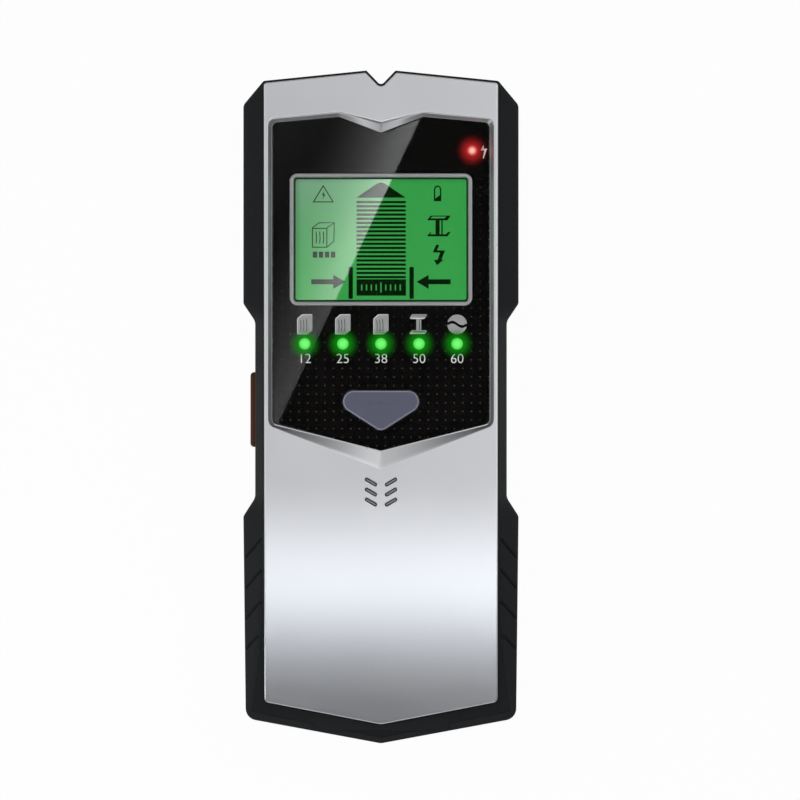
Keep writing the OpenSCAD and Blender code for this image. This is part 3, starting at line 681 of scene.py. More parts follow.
# One ring round the body, inset from its outside, at a level that may follow the rim
def bodyRing(inset, level, given=None):
    b = bodyPlan
    levelAt = level if callable(level) else lambda x, y: level
    drawn = b["baseIn"] * max(1 - levelAt(0, 0) / b["baseRise"], 0.0)
    ring = []
    for x, y in filletLoop(insetCorners(bodyCorners(), inset + drawn), 6, bodyFill):
        share = slopeShare(levelAt(x, y)) if given is None else given
        side = 1 if x > 0 else -1
        wide = b["grip"] - inset - (b["grip"] - b["rim"]) * share
        if b["lowerTop"] < y < b["upperEnd"]:
            wide = abs(x) + min(b["rim"] - inset - abs(x), 0.0) * share
        x = side * min(abs(x), wide)
        y = max(y, b["end"] + (inset + b["endIn"] * share) * endSteep + b["slope"] * abs(x))
        ring.append((x, y, levelAt(x, y)))
    return ring


# Grip grooves pressed into the lower flanks
groovePlan = {
    "count": 4, "first": -35.5, "pitch": 7.7, "fromSide": 2.2, "turn": 50.0, "long": 7.4, "wide": 0.66,
    "deep": 0.75, "core": 0.08, "soft": 0.62, "endFade": 0.5, "last": -70.0, "lowest": 5.5, "rise": 1.4,
    "lean": 0.7}


def unitClamp(value):
    return min(max(value, 0.0), 1.0)


def grooveDepth(x, y):
    g = groovePlan
    side = 1 if x > 0 else -1
    turn = math.radians(g["turn"])
    along = Vector((math.cos(turn) * side, -math.sin(turn)))
    best = 0.0
    for i in range(g["count"]):
        centre = Vector((side * (bodyPlan["grip"] - g["fromSide"]), g["first"] - i * g["pitch"]))
        away = Vector((x, y)) - centre
        off = abs(away.dot(Vector((-along.y, along.x))))
        across = unitClamp((off - g["core"]) / (g["wide"] * g["soft"] - g["core"]))
        end = unitClamp((g["long"] / 2 - abs(away.dot(along))) / g["endFade"])
        best = max(best, end * (1 - across * across * (3 - 2 * across)))
    return best * g["deep"]


def pressGrooves(ring, share):
    g = groovePlan
    lean = g["lean"] * min(share * 4, 1.0)
    pressed = []
    for x, y, z in ring:
        if bodyPlan["lowerTop"] - 2 > y > g["last"] and z > g["lowest"]:
            deep = grooveDepth(x, y) * unitClamp((z - slopeStart) / g["rise"])
            x -= math.copysign(deep * math.sqrt(1 - lean * lean), x)
            z -= deep * lean
        pressed.append((x, y, z))
    return pressed


# Notch and side window, used as cutters; the notch has its own wall in the housing
notchPlan = {
    "wide": 7.3, "deep": 3.8, "r": 1.0, "wall": [(5.95, -2.1, 0.3), (0.0, -8.3, 4.1), (-5.95, -2.1, 0.3)]}
windowPlan = {"gap": 0.25, "r": 2.0, "from": -40.0, "to": -25.0}


def plateTool(name, corners, steps, low, high):
    shell = newShell()
    addPlate(shell, [filletLoop(corners, steps)], low, high)
    return rawPiece(name, shell)


def notchTool(name):
    wide, deep, top = notchPlan["wide"], notchPlan["deep"], bodyPlan["top"]
    corners = [(wide, top + deep, 0.1), (0.0, top - deep, notchPlan["r"]), (-wide, top + deep, 0.1)]
    return plateTool(name, corners, 8, -1.0, coverHigh[2] + 1)


def capSide(shell, ring):
    n = len(ring)
    mean = [sum(shell["points"][k][i] for k in ring) / n for i in range(3)]
    middle = addPoints(shell, [mean])[0]
    shell["faces"] += [(ring[i], ring[(i + 1) % n], middle) for i in range(n)]


# A solid along X from rings in the YZ plane
def sideSolid(name, layers):
    shell = newShell()
    rings = [addPoints(shell, [(x, p[0], p[1]) for p in loop]) for loop, x in layers]
    joinRings(shell, *rings)
    capSide(shell, rings[0])
    capSide(shell, rings[-1])
    return rawPiece(name, shell)


scanRim = 1.0
scanWide = scanHigh[1] - scanLow[1] - 2 * scanRim
scanTall = scanHigh[2] - scanLow[2] - 2 * scanRim
scanMiddle = ((scanHigh[1] + scanLow[1]) / 2, (scanHigh[2] + scanLow[2]) / 2)


def windowTool(name):
    w = windowPlan
    loop = filletLoop(boxCorners(scanWide + 2 * w["gap"], scanTall + 2 * w["gap"], w["r"], *scanMiddle), 6)
    return sideSolid(name, [(loop, w["from"]), (loop, w["to"])])


# Rubber sleeve: up the outside, over the rim and down the inside
sleevePlan = {"levels": [5.0, 5.6, 9.0, 13.0, 17.0, slopeStart], "steps": 32, "edge": 0.2, "lip": 0.25}


def makeSleeve():
    rubber, split = bodyPlan["rubber"], bodyPlan["split"]
    edge, steps = sleevePlan["edge"], sleevePlan["steps"]
    rings = [bodyRing(rubber, split), bodyRing(edge, split)]
    rings += [pressGrooves(bodyRing(0.0, z), 0.0) for z in (split + edge, *sleevePlan["levels"])]
    for i in range(1, steps + 1):
        rings.append(pressGrooves(bodyRing(0.0, shareLevel(i / steps, sleevePlan["lip"])), i / steps))
    for inset, drop in ((0.08, 0.07), (0.27, 0.0)):
        rings.append(pressGrooves(bodyRing(inset, shareLevel(1.0, drop)), 1.0))
    rings += [bodyRing(rubber, shareLevel(share)) for share in (1.0, 0.6, 0.3, 0.0)]
    rings.append(bodyRing(rubber, bodyPlan["baseRise"]))
    shell = newShell()
    rings = [addPoints(shell, ring) for ring in rings]
    joinRings(shell, *rings, rings[0])
    obj = rawPiece("gripSleeve", shell)
    carve(obj, [notchTool("notchA"), windowTool("windowA")])
    dressPiece(obj, looks["gripRubber"], stands=["grip_sleeve"], sharp=50)


makeSleeve()


# Rear housing: tray with the battery bay, screw posts and the door's slot
trayPlan = {
    "bayIn": batteryHigh[0] + 0.35, "bayOut": doorHigh[0] + 1.8, "bayTop": doorHigh[1] - 0.5, "bayWall": 1.2,
    "bayEnd": 3.2, "hollowEnd": 4.6, "roof": 0.8, "post": 8.6, "postTop": 12.0, "bore": 6.3, "seat": 8.0,
    "hole": 2.9,
    "posts": [(side * x, y) for x, y in ((22.0, 73.4), (22.5, -64.0)) for side in (-1, 1)],
    "slide": 0.2, "flange": 0.8, "plate": 1.2, "skin": 0.02}


def boxTool(name, low, high, r=0.0):
    (x0, y0, z0), (x1, y1, z1) = low, high
    return plateTool(name, boxCorners(x1 - x0, y1 - y0, r, (x1 + x0) / 2, (y1 + y0) / 2), 4, z0, z1)


def latheTool(name, profile, x, y):
    shell = newShell()
    addLathe(shell, profile, x, y, 40)
    return rawPiece(name, shell)


def makeHousing():
    b, t = bodyPlan, trayPlan
    split, end, floor = b["split"], b["end"], b["floor"]
    inner = b["rubber"] + b["wall"]
    under = b["rubber"] + t["skin"]
    layers = [(0.35, 0.0), (0.1, 0.08), (0.0, 0.35), (0.0, split - 0.22), (0.12, split - 0.06)]
    layers += [(0.3, split - 0.02), (under, split - 0.02), (under, b["baseRise"])]
    layers += [(under, shareLevel(share)) for share in (0.0, 0.15, 0.3, 0.6)]
    layers += [(under, shareLevel(1.0, 0.12)), (b["rubber"] + 0.14, shareLevel(1.0)), (inner, rimLevel, 1.0)]
    layers += [(inner, slopeStart, 1.0), (inner, slopeStart - 0.3, 0.0), (inner, b["baseRise"])]
    layers.append((inner - 0.9, floor))
    shell = newShell()
    closeRings(shell, [addPoints(shell, bodyRing(*layer)) for layer in layers])
    obj = rawPiece("rearHousing", shell)
    roof = batteryHigh[2] + 0.1
    bayHigh = (t["bayOut"], t["bayTop"] + t["bayWall"], roof + t["roof"])
    tools = [boxTool("bay", (-t["bayOut"], end + t["bayEnd"], floor - 0.4), bayHigh, 0.6)]
    wall = [(x, b["top"] + y, r) for x, y, r in notchPlan["wall"]]
    tools.append(plateTool("notchWall", wall, 8, floor - 0.3, b["rimLevel"] - 0.03))
    profile = [(t["post"] / 2, floor - 0.3), (t["post"] / 2, t["postTop"])]
    tools += [latheTool("post", profile, *spot) for spot in t["posts"]]
    carve(obj, tools, "UNION")
    tools = [notchTool("notchB"), windowTool("windowB")]
    hollowLow = (-t["bayIn"], end + t["hollowEnd"], -1.0)
    tools.append(boxTool("hollow", hollowLow, (t["bayIn"], t["bayTop"], roof), 0.4))
    wide, slotTop = doorHigh[0] - t["flange"] + t["slide"], doorHigh[1] + t["slide"]
    tools.append(boxTool("slot", (-wide, end - 1, -1.0), (wide, slotTop, floor + 0.02)))
    wide += t["flange"]
    tools.append(boxTool("track", (-wide, end - 1, t["plate"] - 0.1), (wide, slotTop, floor + 0.01)))
    r, hole = t["bore"] / 2, t["hole"] / 2
    profile = [(r + 0.7, -0.4), (r, 0.3), (r, t["seat"]), (hole, t["seat"]), (hole, t["postTop"] + 1)]
    tools += [latheTool("bore", profile, *spot) for spot in t["posts"]]
    carve(obj, tools)
    dressPiece(obj, looks["blackShell"], stands=["rear_housing"])


makeHousing()


# Sliding door with a ridged thumb pad and an end that follows the body
doorPlan = {
    "edge": 0.3, "topEdge": 0.15, "corner": 0.15, "ridges": 5, "pitch": 2.2, "first": 5.0, "deep": 0.5}


def makeDoor():
    b, t, d = bodyPlan, trayPlan, doorPlan
    edge, topEdge, r = d["edge"], d["topEdge"], d["corner"]
    plate, flange, top = doorHigh[0] - t["flange"], doorHigh[0], doorHigh[2]

    def doorLoop(half, inset, z):
        end = b["end"] + b["baseIn"] * (1 - z / b["baseRise"]) * endSteep + inset
        x, y = half - inset, doorHigh[1] - inset
        side = end + b["slope"] * x
        return filletLoop([(x, y, 0.8), (x, side, r), (0.0, end, 4.0), (-x, side, r), (-x, y, 0.8)], 5)

    layers = [
        (plate, edge, 0.0), (plate, edge * 0.3, edge * 0.3), (plate, 0.0, edge), (plate, 0.0, t["plate"]),
        (flange, 0.0, t["plate"]), (flange, 0.0, top - topEdge), (flange, topEdge, top)]
    shell = newShell()
    closeRings(shell, [addRing(shell, doorLoop(*layer), layer[2]) for layer in layers])
    obj = rawPiece("batteryDoor", shell)
    tools = []
    for i in range(d["ridges"]):
        y = doorHigh[1] - d["first"] - i * d["pitch"] + d["pitch"] / 4
        tool = newShell()
        corners = boxCorners(plate, d["pitch"] / 2, d["pitch"] / 4, 0.0, y)
        addBar(tool, corners, [(0.25, -0.4), (0.0, 0.1), (-0.12, d["deep"])])
        tools.append(rawPiece("ridge", tool))
    carve(obj, tools)
    dressPiece(obj, looks["blackShell"], "door", ["battery_door"])


makeDoor()
print("housing, sleeve and door made")


# Front cover: the face with its window, the six sound slots and the pan below the lens
coverPlan = {
    "half": [
        (0.0, 79.4, 1.45), (3.85, 83.38, 0.6), (29.2, 80.8, 0.7), (29.08, -73.56, 1.2), (0.0, -79.2, 4.0)],
    "edge": 0.32, "wall": 1.5, "thick": 2.0, "panEdge": 0.15, "panDeep": 1.5, "fit": 0.1, "lip": 0.2}
windowHalf = [(0.0, 71.05, 1.0), (10.5, 73.5, 1.2), (28.2, 71.8, 2.0), (28.2, -4.5, 2.3), (0.0, -15.5, 2.5)]
lensHalf = [(0.0, 68.5, 0.8), (10.5, 72.5, 1.0), (27.2, 71.0, 1.6), (27.2, -4.1, 1.6), (0.0, -10.95, 0.8)]
slotPlan = {"x": 2.5, "y": -21.2, "pitch": 2.5, "long": 3.3, "wide": 0.85, "turn": 30.0, "rim": 0.16}
slotSpots = [(side, row) for row in (-1, 0, 1) for side in (-1, 1)]
keyPlan = {
    "corners": [(15.68, 3.98, 2.6), (0.0, -6.07, 2.3), (-15.68, 3.98, 2.6)],
    "gap": 0.2, "edge": 0.36, "flange": 1.0, "dome": 0.18, "middle": (0.0, 0.3)}
lampXs = [(i - 2) * 9.5 for i in range(5)]
lampY = (lampLow[1] + lampHigh[1]) / 2
warnSpot = ((warnLow[0] + warnHigh[0]) / 2, (warnLow[1] + warnHigh[1]) / 2)
screenMiddle = ((panelLow[0] + panelHigh[0]) / 2, (panelLow[1] + panelHigh[1]) / 2)
ringPlan = {"w": 45.75, "l": 33.2, "r": 2.0, "border": 1.15, "edge": 0.3}
filmTop = lensLow[2] - 0.04
coverFill = bothSides({0: 1, 1: 8, 2: 60, 3: 10}, 5)
windowFill = bothSides({0: 3, 1: 4, 2: 14, 3: 8}, 5)
sillCorners = mirrorHalf(lensHalf)
gridPlan = {
    "rows": 19, "first": -19.5, "pitch": (6.4, 3.0), "slots": (5.5, -27.0), "slope": 0.2, "margin": 2.2}


def slotLoop(side, row, grow):
    s = slotPlan
    turn = math.radians(s["turn"]) * side
    c, n = math.cos(turn), math.sin(turn)
    loop = filletLoop(boxCorners(s["long"] + 2 * grow, s["wide"] + 2 * grow, s["wide"] / 2 + grow - 0.01), 6)
    cx, cy = side * s["x"], s["y"] + row * s["pitch"]
    return [Vector((cx + p.x * c - p.y * n, cy + p.x * n + p.y * c)) for p in loop]


def keyLoop(grow):
    return filletLoop(insetCorners(keyPlan["corners"], -grow), 22, most=0.6)


def screenLoop(grow, r):
    return filletLoop(boxCorners(ringPlan["w"] + 2 * grow, ringPlan["l"] + 2 * grow, r, *screenMiddle), 8)


def windowLoop(corners):
    return filletLoop(corners, 8, windowFill)


def openings(grow, lampR):
    spots = [*((x, lampY) for x in lampXs), warnSpot]
    return [screenLoop(grow, ringPlan["r"]), keyLoop(keyPlan["gap"]), *(circleLoop(*p, lampR) for p in spots)]


# Grown corners, with more room along the top edge
def widened(corners, side, top):
    return [(x, y + top - side if y > 0 else y, r) for x, y, r in insetCorners(corners, -side)]


# Points inside the curved face, clear of the slots and the lower edge
def faceGrid():
    g = gridPlan
    stepX, stepY = g["pitch"]
    spots = []
    for j in range(g["rows"]):
        y = g["first"] - stepY * j
        for i in range(-4, 5):
            x = i * stepX
            inSlots = abs(x) < g["slots"][0] and y > g["slots"][1]
            if not inSlots and y > coverPlan["half"][-1][1] + g["slope"] * abs(x) + g["margin"]:
                spots.append((x, y))
    return spots


def makeCover():
    c = coverPlan
    corners = mirrorHalf(c["half"])
    shell = newShell()

    def coverRing(inset, level):
        return addRing(shell, filletLoop(insetCorners(corners, inset), 6, coverFill), level)

    edge = c["edge"]
    outer = [coverRing(edge + 0.08, faceLevel)]
    outer += [coverRing(inset, faceBelow(drop)) for drop, inset in quarterTurn(edge, 10)]
    outer.append(coverRing(0.0, lambda x, y: rimLevel(x, y) + 0.12))
    outer.append(coverRing(0.1, rimLevel))
    outer.append(coverRing(c["wall"], rimLevel))
    outer.append(coverRing(c["wall"], faceBelow(c["thick"])))
    joinRings(shell, *outer)

    face = mirrorHalf(windowHalf)
    wide = windowLoop(widened(face, 0.1, 0.34))
    sharp = windowLoop(face)
    low = windowLoop(sillCorners)
    top, sill = coverHigh[2], lensHigh[2]
    bevel = [addRing(shell, windowLoop(widened(face, 0.17, 0.46)), faceLevel)]
    for i in range(7):
        s = i / 6
        points = []
        for p, q, r in zip(wide, sharp, low):
            first, turn = Vector((*p, top)), Vector((*q, top))
            last = Vector((*q.lerp(r, 0.25), top + (sill - top) * 0.25))
            points.append(first * (1 - s) ** 2 + turn * 2 * s * (1 - s) + last * s * s)
        bevel.append(addPoints(shell, points))
    lipLoop = windowLoop(insetCorners(sillCorners, -c["lip"]))
    lip = [p.lerp(q, 1.0 if p.y < lensHalf[-2][1] else 0.15) for p, q in zip(low, lipLoop)]
    bevel += [addRing(shell, loop, z) for loop, z in ((lip, sill), (low, sill), (low, filmLow[2]))]
    joinRings(shell, *bevel)

    slotTops, slotEnds = [], []
    rim = slotPlan["rim"]
    for spot in slotSpots:
        rings = [addRing(shell, slotLoop(*spot, rim + 0.12), faceLevel)]
        for drop, grow in quarterTurn(rim, 4):
            rings.append(addRing(shell, slotLoop(*spot, grow), faceBelow(drop)))
        rings.append(addRing(shell, slotLoop(*spot, grow), faceBelow(c["thick"])))
        joinRings(shell, *rings)
        slotTops.append(rings[0])
        slotEnds.append(rings[-1])

    spots = faceGrid()
    faceSpots = addPoints(shell, [(x, y, faceLevel(x, y)) for x, y in spots])
    fillRings(shell, [outer[0], bevel[0], *slotTops], faceSpots)

    panLoop = windowLoop(insetCorners(sillCorners, -c["panEdge"]))
    panTop = addRing(shell, panLoop, coverHigh[2] - c["thick"])
    panLevel = filmLow[2] - c["panDeep"]
    panLow = addRing(shell, panLoop, panLevel)
    underSpots = addPoints(shell, [(x, y, faceLevel(x, y) - c["thick"]) for x, y in spots if abs(x) < 26])
    fillRings(shell, [outer[-1], panTop, *slotEnds], underSpots)
    joinRings(shell, panTop, panLow)
    holes = openings(c["fit"], lampHole + 0.2)
    lows = [addRing(shell, loop, panLevel) for loop in holes]
    highs = [addRing(shell, loop, filmLow[2]) for loop in holes]
    for a, b in zip(lows, highs):
        joinRings(shell, a, b)
    fillRings(shell, [panLow, *lows])
    fillRings(shell, [bevel[-1], *highs])
    obj = rawPiece("frontCover", shell)
    dressPiece(obj, looks["silverPaint"], stands=["front_cover"], sharp=14)


makeCover()


# Grey bars that close the sound slots, on a thin black backing under the cover
def makeSlotBars():
    shell = newShell()
    for side, row in slotSpots:
        level = faceLevel(0, slotPlan["y"] + row * slotPlan["pitch"])
        layers = [(-0.3, 0.4), (-0.22, 0.45), (-0.18, 0.56), (-0.18, 2.15)]
        closeRings(shell, [addRing(shell, slotLoop(side, row, grow), level - drop) for grow, drop in layers])
    dressPiece(rawPiece("slotBars", shell), looks["screenGrey"], sharp=60)
    corners = boxCorners(10.4, 8.6, 2.0, 0.0, slotPlan["y"])
    backing = plateTool("slotBacking", corners, 6, coverHigh[2] - 2.55, coverHigh[2] - 2.16)
    dressPiece(backing, looks["blackShell"])


makeSlotBars()
print("cover made")


# Lens, film and screen frame
def makeLens():
    shell = newShell()
    low, high = lensLow[2], lensHigh[2]
    layers = [(0.05, low), (0.05, high - 0.12), (0.085, high - 0.035), (0.17, high), (0.4, high)]
    rings = [addRing(shell, windowLoop(insetCorners(sillCorners, inset)), z) for inset, z in layers]
    joinRings(shell, *rings)
    layers = [(0.2, low), (0.2, high - 0.06), (0.217, high - 0.018), (0.26, high), (0.45, high)]
    hole = [addRing(shell, keyLoop(grow), z) for grow, z in layers]
    joinRings(shell, *hole)
    fillRings(shell, [rings[-1], hole[-1]])
    fillRings(shell, [rings[0], hole[0]])
    obj = rawPiece("displayLens", shell)
    dressPiece(obj, clearLens, stands=["display_lens"], sharp=30)


makeLens()


def makeFilm():
    shell = newShell()
    loops = [filletLoop(insetCorners(sillCorners, 0.05), 8), *openings(0.0, lampHole)]
    addPlate(shell, loops, filmLow[2] + 0.005, filmTop)
    obj = rawPiece("printedFilm", shell)
    dressPiece(obj, filmBlack, stands=["graphic_film"], weigh=False)


makeFilm()


def makeScreenFrame():
    r, border, edge = ringPlan["r"], ringPlan["border"], ringPlan["edge"]
    base = panelHigh[2]
    layers = [(0.0, r, base)]
    layers += [(inset, r - inset, filmTop - drop) for inset, drop in quarterTurn(edge, 4)]
    for drop, back in quarterTurn(edge, 4):
        layers.append((border - back, max(r - border + back, 0.2), filmTop - drop))
    layers += [(border, r - border, base + 0.003), (border - 0.05, r - border, base)]
    shell = newShell()
    rings = [addRing(shell, screenLoop(-inset, corner), z) for inset, corner, z in layers]
    joinRings(shell, *rings, rings[0])
    obj = rawPiece("screenFrame", shell)
    dressPiece(obj, looks["frameSilver"], stands=["lcd_bezel"], sharp=35)


makeScreenFrame()


# Dark ring between the frame and the panel: a painted shadow along the inside of the frame
def makeFrameShadeRing():
    r, border = ringPlan["r"], ringPlan["border"]
    shell = newShell()
    rings = []
    for past, z in ((0.01, 0.02), (0.01, 0.5), (0.16, 0.5), (0.42, 0.02)):
        inset = border + past
        rings.append(addRing(shell, screenLoop(-inset, max(r - inset, 0.5)), panelHigh[2] + z))
    joinRings(shell, *rings, rings[0])
    obj = rawPiece("screenShadeRing", shell, 0.0005)
    dressPiece(obj, looks["frameShadeGreen"], weigh=False)


makeFrameShadeRing()


# Outline of a line with mitred corners: one loop, or two when the line is closed
def strokeLoop(points, wide, closed=False):
    count = len(points)
    left, right = [], []
    for i, p in enumerate(points):
        here = Vector(p)
        before = Vector(points[i - 1]) if i or closed else None
        after = Vector(points[(i + 1) % count]) if i < count - 1 or closed else None
        a = (here - before).normalized() if before is not None else (after - here).normalized()
        b = (after - here).normalized() if after is not None else a
        na, nb = Vector((-a.y, a.x)), Vector((-b.y, b.x))
        move = (na + nb) * (wide / 2 / max(1 + na.dot(nb), 0.3))
        left.append(here + move)
        right.append(here - move)
    return [left, right] if closed else [left + right[::-1]]


# Marks on the screen: each is a thin plate on the panel
segmentPlan = {"lift": 0.004, "thick": 0.02, "rows": 19, "firstRow": 51.15, "rowPitch": 1.04, "rowHalf": 0.29}


def makeSegments():
    s = segmentPlan
    shell = newShell()
    low = panelHigh[2] + s["lift"]
    high = low + s["thick"]

    def mark(*loops):
        addPlate(shell, [[Vector(p) for p in loop] for loop in loops], low, high)

    def stroke(points, wide, closed=False):
        addPlate(shell, strokeLoop(points, wide, closed), low, high)

    def bar(x0, y0, x1, y1):
        mark([(x0, y0), (x1, y0), (x1, y1), (x0, y1)])

    mark([(-6.15, 52.25), (6.2, 52.25), (1.1, 55.7), (0.0, 56.1), (-1.1, 55.7)])
    for i in range(s["rows"]):
        y = s["firstRow"] - i * s["rowPitch"]
        bar(-6.1, y - s["rowHalf"], 6.2, y + s["rowHalf"])
    ticks = [boxCorners(0.32, 2.5 if i == 0 else 1.5, 0.1, i * 1.2, 29.85) for i in range(-4, 5)]
    mark([(-6.1, 27.8), (6.25, 27.8), (6.25, 31.9), (-6.1, 31.9)], *(filletLoop(tick, 2) for tick in ticks))
    for x in (-7.55, 7.65):
        mark(filletLoop(boxCorners(1.1, 8.0, 0.3, x, 31.0), 3))
    for side in (-1, 1):
        tip, tail, neck = side * 8.85, side * 17.4, side * 11.9
        head = [(neck, 30.65), (neck, 29.5), (tip, 31.25), (neck, 33.0), (neck, 31.9)]
        mark([(tail, 30.65), *head, (tail, 31.9)])
    stroke([(-14.4, 55.2), (-11.95, 51.2), (-16.85, 51.2)], 0.26, True)
    mark([(-14.1, 54.0), (-14.75, 52.85), (-14.35, 52.85), (-14.6, 51.75), (-13.85, 53.1), (-14.25, 53.1)])
    stroke([(-17.1, 39.9), (-13.5, 39.9), (-13.5, 44.6), (-17.1, 44.6)], 0.26, True)
    stroke([(-17.1, 44.75), (-15.4, 46.0), (-11.65, 46.0), (-13.45, 44.75)], 0.24)
    stroke([(-11.65, 45.9), (-11.75, 41.4), (-13.35, 40.0)], 0.24)
    for x in (-16.2, -15.3, -14.4):
        stroke([(x, 40.8), (x + 0.12, 42.2), (x, 43.8)], 0.26)
    for i in range(4):
        bar(-17.0 + i * 1.5, 37.3, -15.9 + i * 1.5, 38.8)
    cell = [(13.38, 51.55), (13.38, 54.3), (13.55, 54.85), (13.9, 55.12)]
    stroke(cell + [(14.36, 55.12), (14.7, 54.85), (14.88, 54.3), (14.88, 51.55)], 0.34, True)
    mark([(13.52, 51.7), (14.74, 51.7), (14.74, 52.9), (14.5, 52.75), (13.52, 52.0)])
    flangeHole = [(12.35, 47.1), (15.85, 47.1), (16.3, 47.55), (12.75, 47.55)]
    mark([(11.5, 46.6), (16.6, 46.6), (17.4, 47.78), (12.35, 47.78)], flangeHole)
    bar(13.6, 43.14, 14.65, 46.59)
    bar(15.06, 43.14, 15.4, 46.59)
    foot = [(11.5, 42.6), (16.6, 42.6), (17.4, 43.7), (16.75, 43.7)]
    mark(foot + [(16.2, 43.13), (12.2, 43.13), (12.6, 43.6), (12.2, 43.6)])
    bolt = [(13.77, 40.54), (14.54, 40.46), (13.96, 39.12), (15.99, 39.09), (15.09, 36.76), (15.67, 36.76)]
    mark(bolt + [(13.96, 35.39), (13.21, 36.76), (14.12, 36.76), (14.77, 38.56), (12.93, 38.61)])
    dressPiece(rawPiece("screenMarks", shell, 0.0005), segmentBlack, weigh=False)


makeSegments()


# Printed signs over the lamps and plain numbers under them
printThick = 0.018
printLow = filmTop + 0.001
signPlan = {
    "y": 20.65, "warn": (2.75, -0.25), "disc": 2.45, "wave": 0.55, "gap": 0.36,
    "block": [(-1.9, -2.5), (0.7, -2.5), (1.9, -1.5), (1.9, 2.5), (-0.7, 2.5), (-1.9, 1.4)],
    "blockRim": [(0.6, -2.4), (-1.8, -2.4), (-1.8, 1.36), (-0.67, 2.4), (1.75, 2.4)],
    "beam": [
        (-1.75, 2.5), (1.95, 2.5), (1.95, 2.25), (1.4, 1.4), (0.54, 1.3), (0.54, -1.5), (1.85, -1.5),
        (1.9, -1.8), (1.45, -2.4), (-2.3, -2.4), (-2.3, -2.1), (-1.8, -1.5), (-0.69, -1.5), (-0.69, 1.3),
        (-2.25, 1.35), (-2.3, 1.65)],
    "bolt": [
        (0.14, 1.57), (0.1, 0.67), (0.98, 0.75), (0.12, -1.71), (-0.08, -1.71), (0.29, 0.3), (-0.72, 0.26)]}
numberPlan = {"texts": ["12", "25", "38", "50", "60"], "size": 3.4, "y": 12.0, "thin": -0.05}


def makeSigns():
    s = signPlan
    signY = s["y"]
    high = printLow + printThick
    grey, dark, pale = newShell(), newShell(), newShell()

    def around(points, x, y=signY):
        return [Vector((x + px, y + py)) for px, py in points]

    def line(shell, points, wide):
        addPlate(shell, strokeLoop(points, wide), high, printLow + 1.25 * printThick)

    for x in lampXs[:3]:
        addPlate(grey, [around(s["block"], x)], printLow, high)
        for i, dx in enumerate((-1.0, -0.3, 0.45)):
            line(dark, around([(0.0, -1.7), (0.08, -0.4), (-0.05, 1.0 + 0.15 * i)], x + dx), 0.2)
        line(pale, around(s["blockRim"], x), 0.16)
    x = lampXs[3]
    addPlate(grey, [around(s["beam"], x)], printLow, high)
    for left, right, y in ((-2.15, 1.35, 1.47), (-2.2, 1.4, -2.3)):
        line(pale, around([(left, y), (right, y)], x), 0.18)
    for left, right, y in ((-1.6, 1.7, 2.1), (-1.6, 1.6, -1.8)):
        line(dark, around([(left, y), (right, y)], x), 0.16)
    line(dark, around([(0.1, -1.45), (0.1, 1.3)], x), 0.2)
    x, r = lampXs[4], s["disc"]
    steps = [k / 8 - 1 for k in range(17)]
    wave = around([(r * k, -s["wave"] * math.sin(math.pi * k)) for k in steps], x)
    for side in (1, -1):
        edge = [p + Vector((0, side * s["gap"])) for p in wave[1:-1]]
        first, last = (math.asin((edge[k].y - signY) / r) for k in (0, -1))
        sweep = math.pi - first - last - (0 if side > 0 else 2 * math.pi)
        turns = [last + sweep * k / 18 for k in range(19)]
        arc = around([(r * math.cos(t), r * math.sin(t)) for t in turns], x)
        addPlate(grey, [edge + arc], printLow, high)
    warnSign = around(s["bolt"], *(a + b for a, b in zip(warnSpot, s["warn"])))
    addPlate(pale, [warnSign], printLow, high)
    for name, shell, look in (("Plates", grey, "grey"), ("Lines", dark, "dark"), ("Edges", pale, "white")):
        obj = rawPiece("sign" + name, shell, 0.0005)
        dressPiece(obj, looks[look + "Print"], weigh=False)


makeSigns()


def makeNumbers():
    for i, text in enumerate(numberPlan["texts"]):
        curve = bpy.data.curves.new("depthNumber", "FONT")
        curve.body = text
        curve.size = numberPlan["size"] * mm
        curve.align_x = "CENTER"
        curve.align_y = "CENTER"
        curve.extrude = printThick * mm / 2
        curve.offset = numberPlan["thin"] * mm
        temp = addObject("depthNumberCurve", curve)
        mesh = shownMesh(temp)
        bpy.data.objects.remove(temp)
        move = [c * mm for c in (lampXs[i], numberPlan["y"], printLow + printThick / 2)]
        for v in mesh.vertices:
            for axis in range(3):
                v.co[axis] += move[axis]
        obj = addObject("depthNumber" + str(i + 1), mesh)
        cleanMesh(obj, 0.0005)
        dressPiece(obj, looks["whitePrint"], weigh=False)


makeNumbers()
print("display made")


# Lamps: one dome each on two legs, with a painted glow in the film round it
lampPlan = {"gap": 0.05, "flange": 0.4, "leg": 0.25, "pitch": 1.27, "legTop": 0.79, "base": 0.8, "step": 1.8}


def makeLamp(name, x, y, look, haloLook, slot, node):
    p = lampPlan
    top, base = lampHigh[2], lampLow[2]
    r = lampHole - p["gap"]
    wide = r + p["flange"]
    profile = [(wide, base + p["base"]), (wide, base + p["step"]), (r, base + p["step"] + 0.1), (r, top - r)]
    turns = [math.radians(15 * k) for k in range(1, 6)]
    profile += [(r * math.cos(t), top - r + r * math.sin(t)) for t in turns]
    profile.append((0.06, top))
    shell = newShell()
    addLathe(shell, profile, 0.0, 0.0)
    for side in (-1, 1):
        addLathe(shell, [(p["leg"], base), (p["leg"], base + p["legTop"])], side * p["pitch"], 0.0, 12)
    obj = rawPiece(name, shell)
    obj.location = (x * mm, y * mm, 0)
    dressPiece(obj, look, stands=[node], weigh=False)
    glow = newShell()
    loops = [circleLoop(0, 0, radius, 48) for radius in (haloReach, lampHole - 0.06)]
    addPlate(glow, loops, filmTop + 0.026, filmTop + 0.03)
    halo = rawPiece(name + "Glow", glow, 0.0005)
    halo.location = (x * mm, y * mm, 0)
    dressPiece(halo, haloLook, weigh=False)


for lampIndex, lampX in enumerate(lampXs):
    lampName = "statusLamp" + str(lampIndex + 1)
    makeLamp(lampName, lampX, lampY, lampGreen, haloGreen, "lamp_green", "status_leds")
makeLamp("warningLamp", *warnSpot, lampRed, haloRed, "lamp_red", "warning_led")


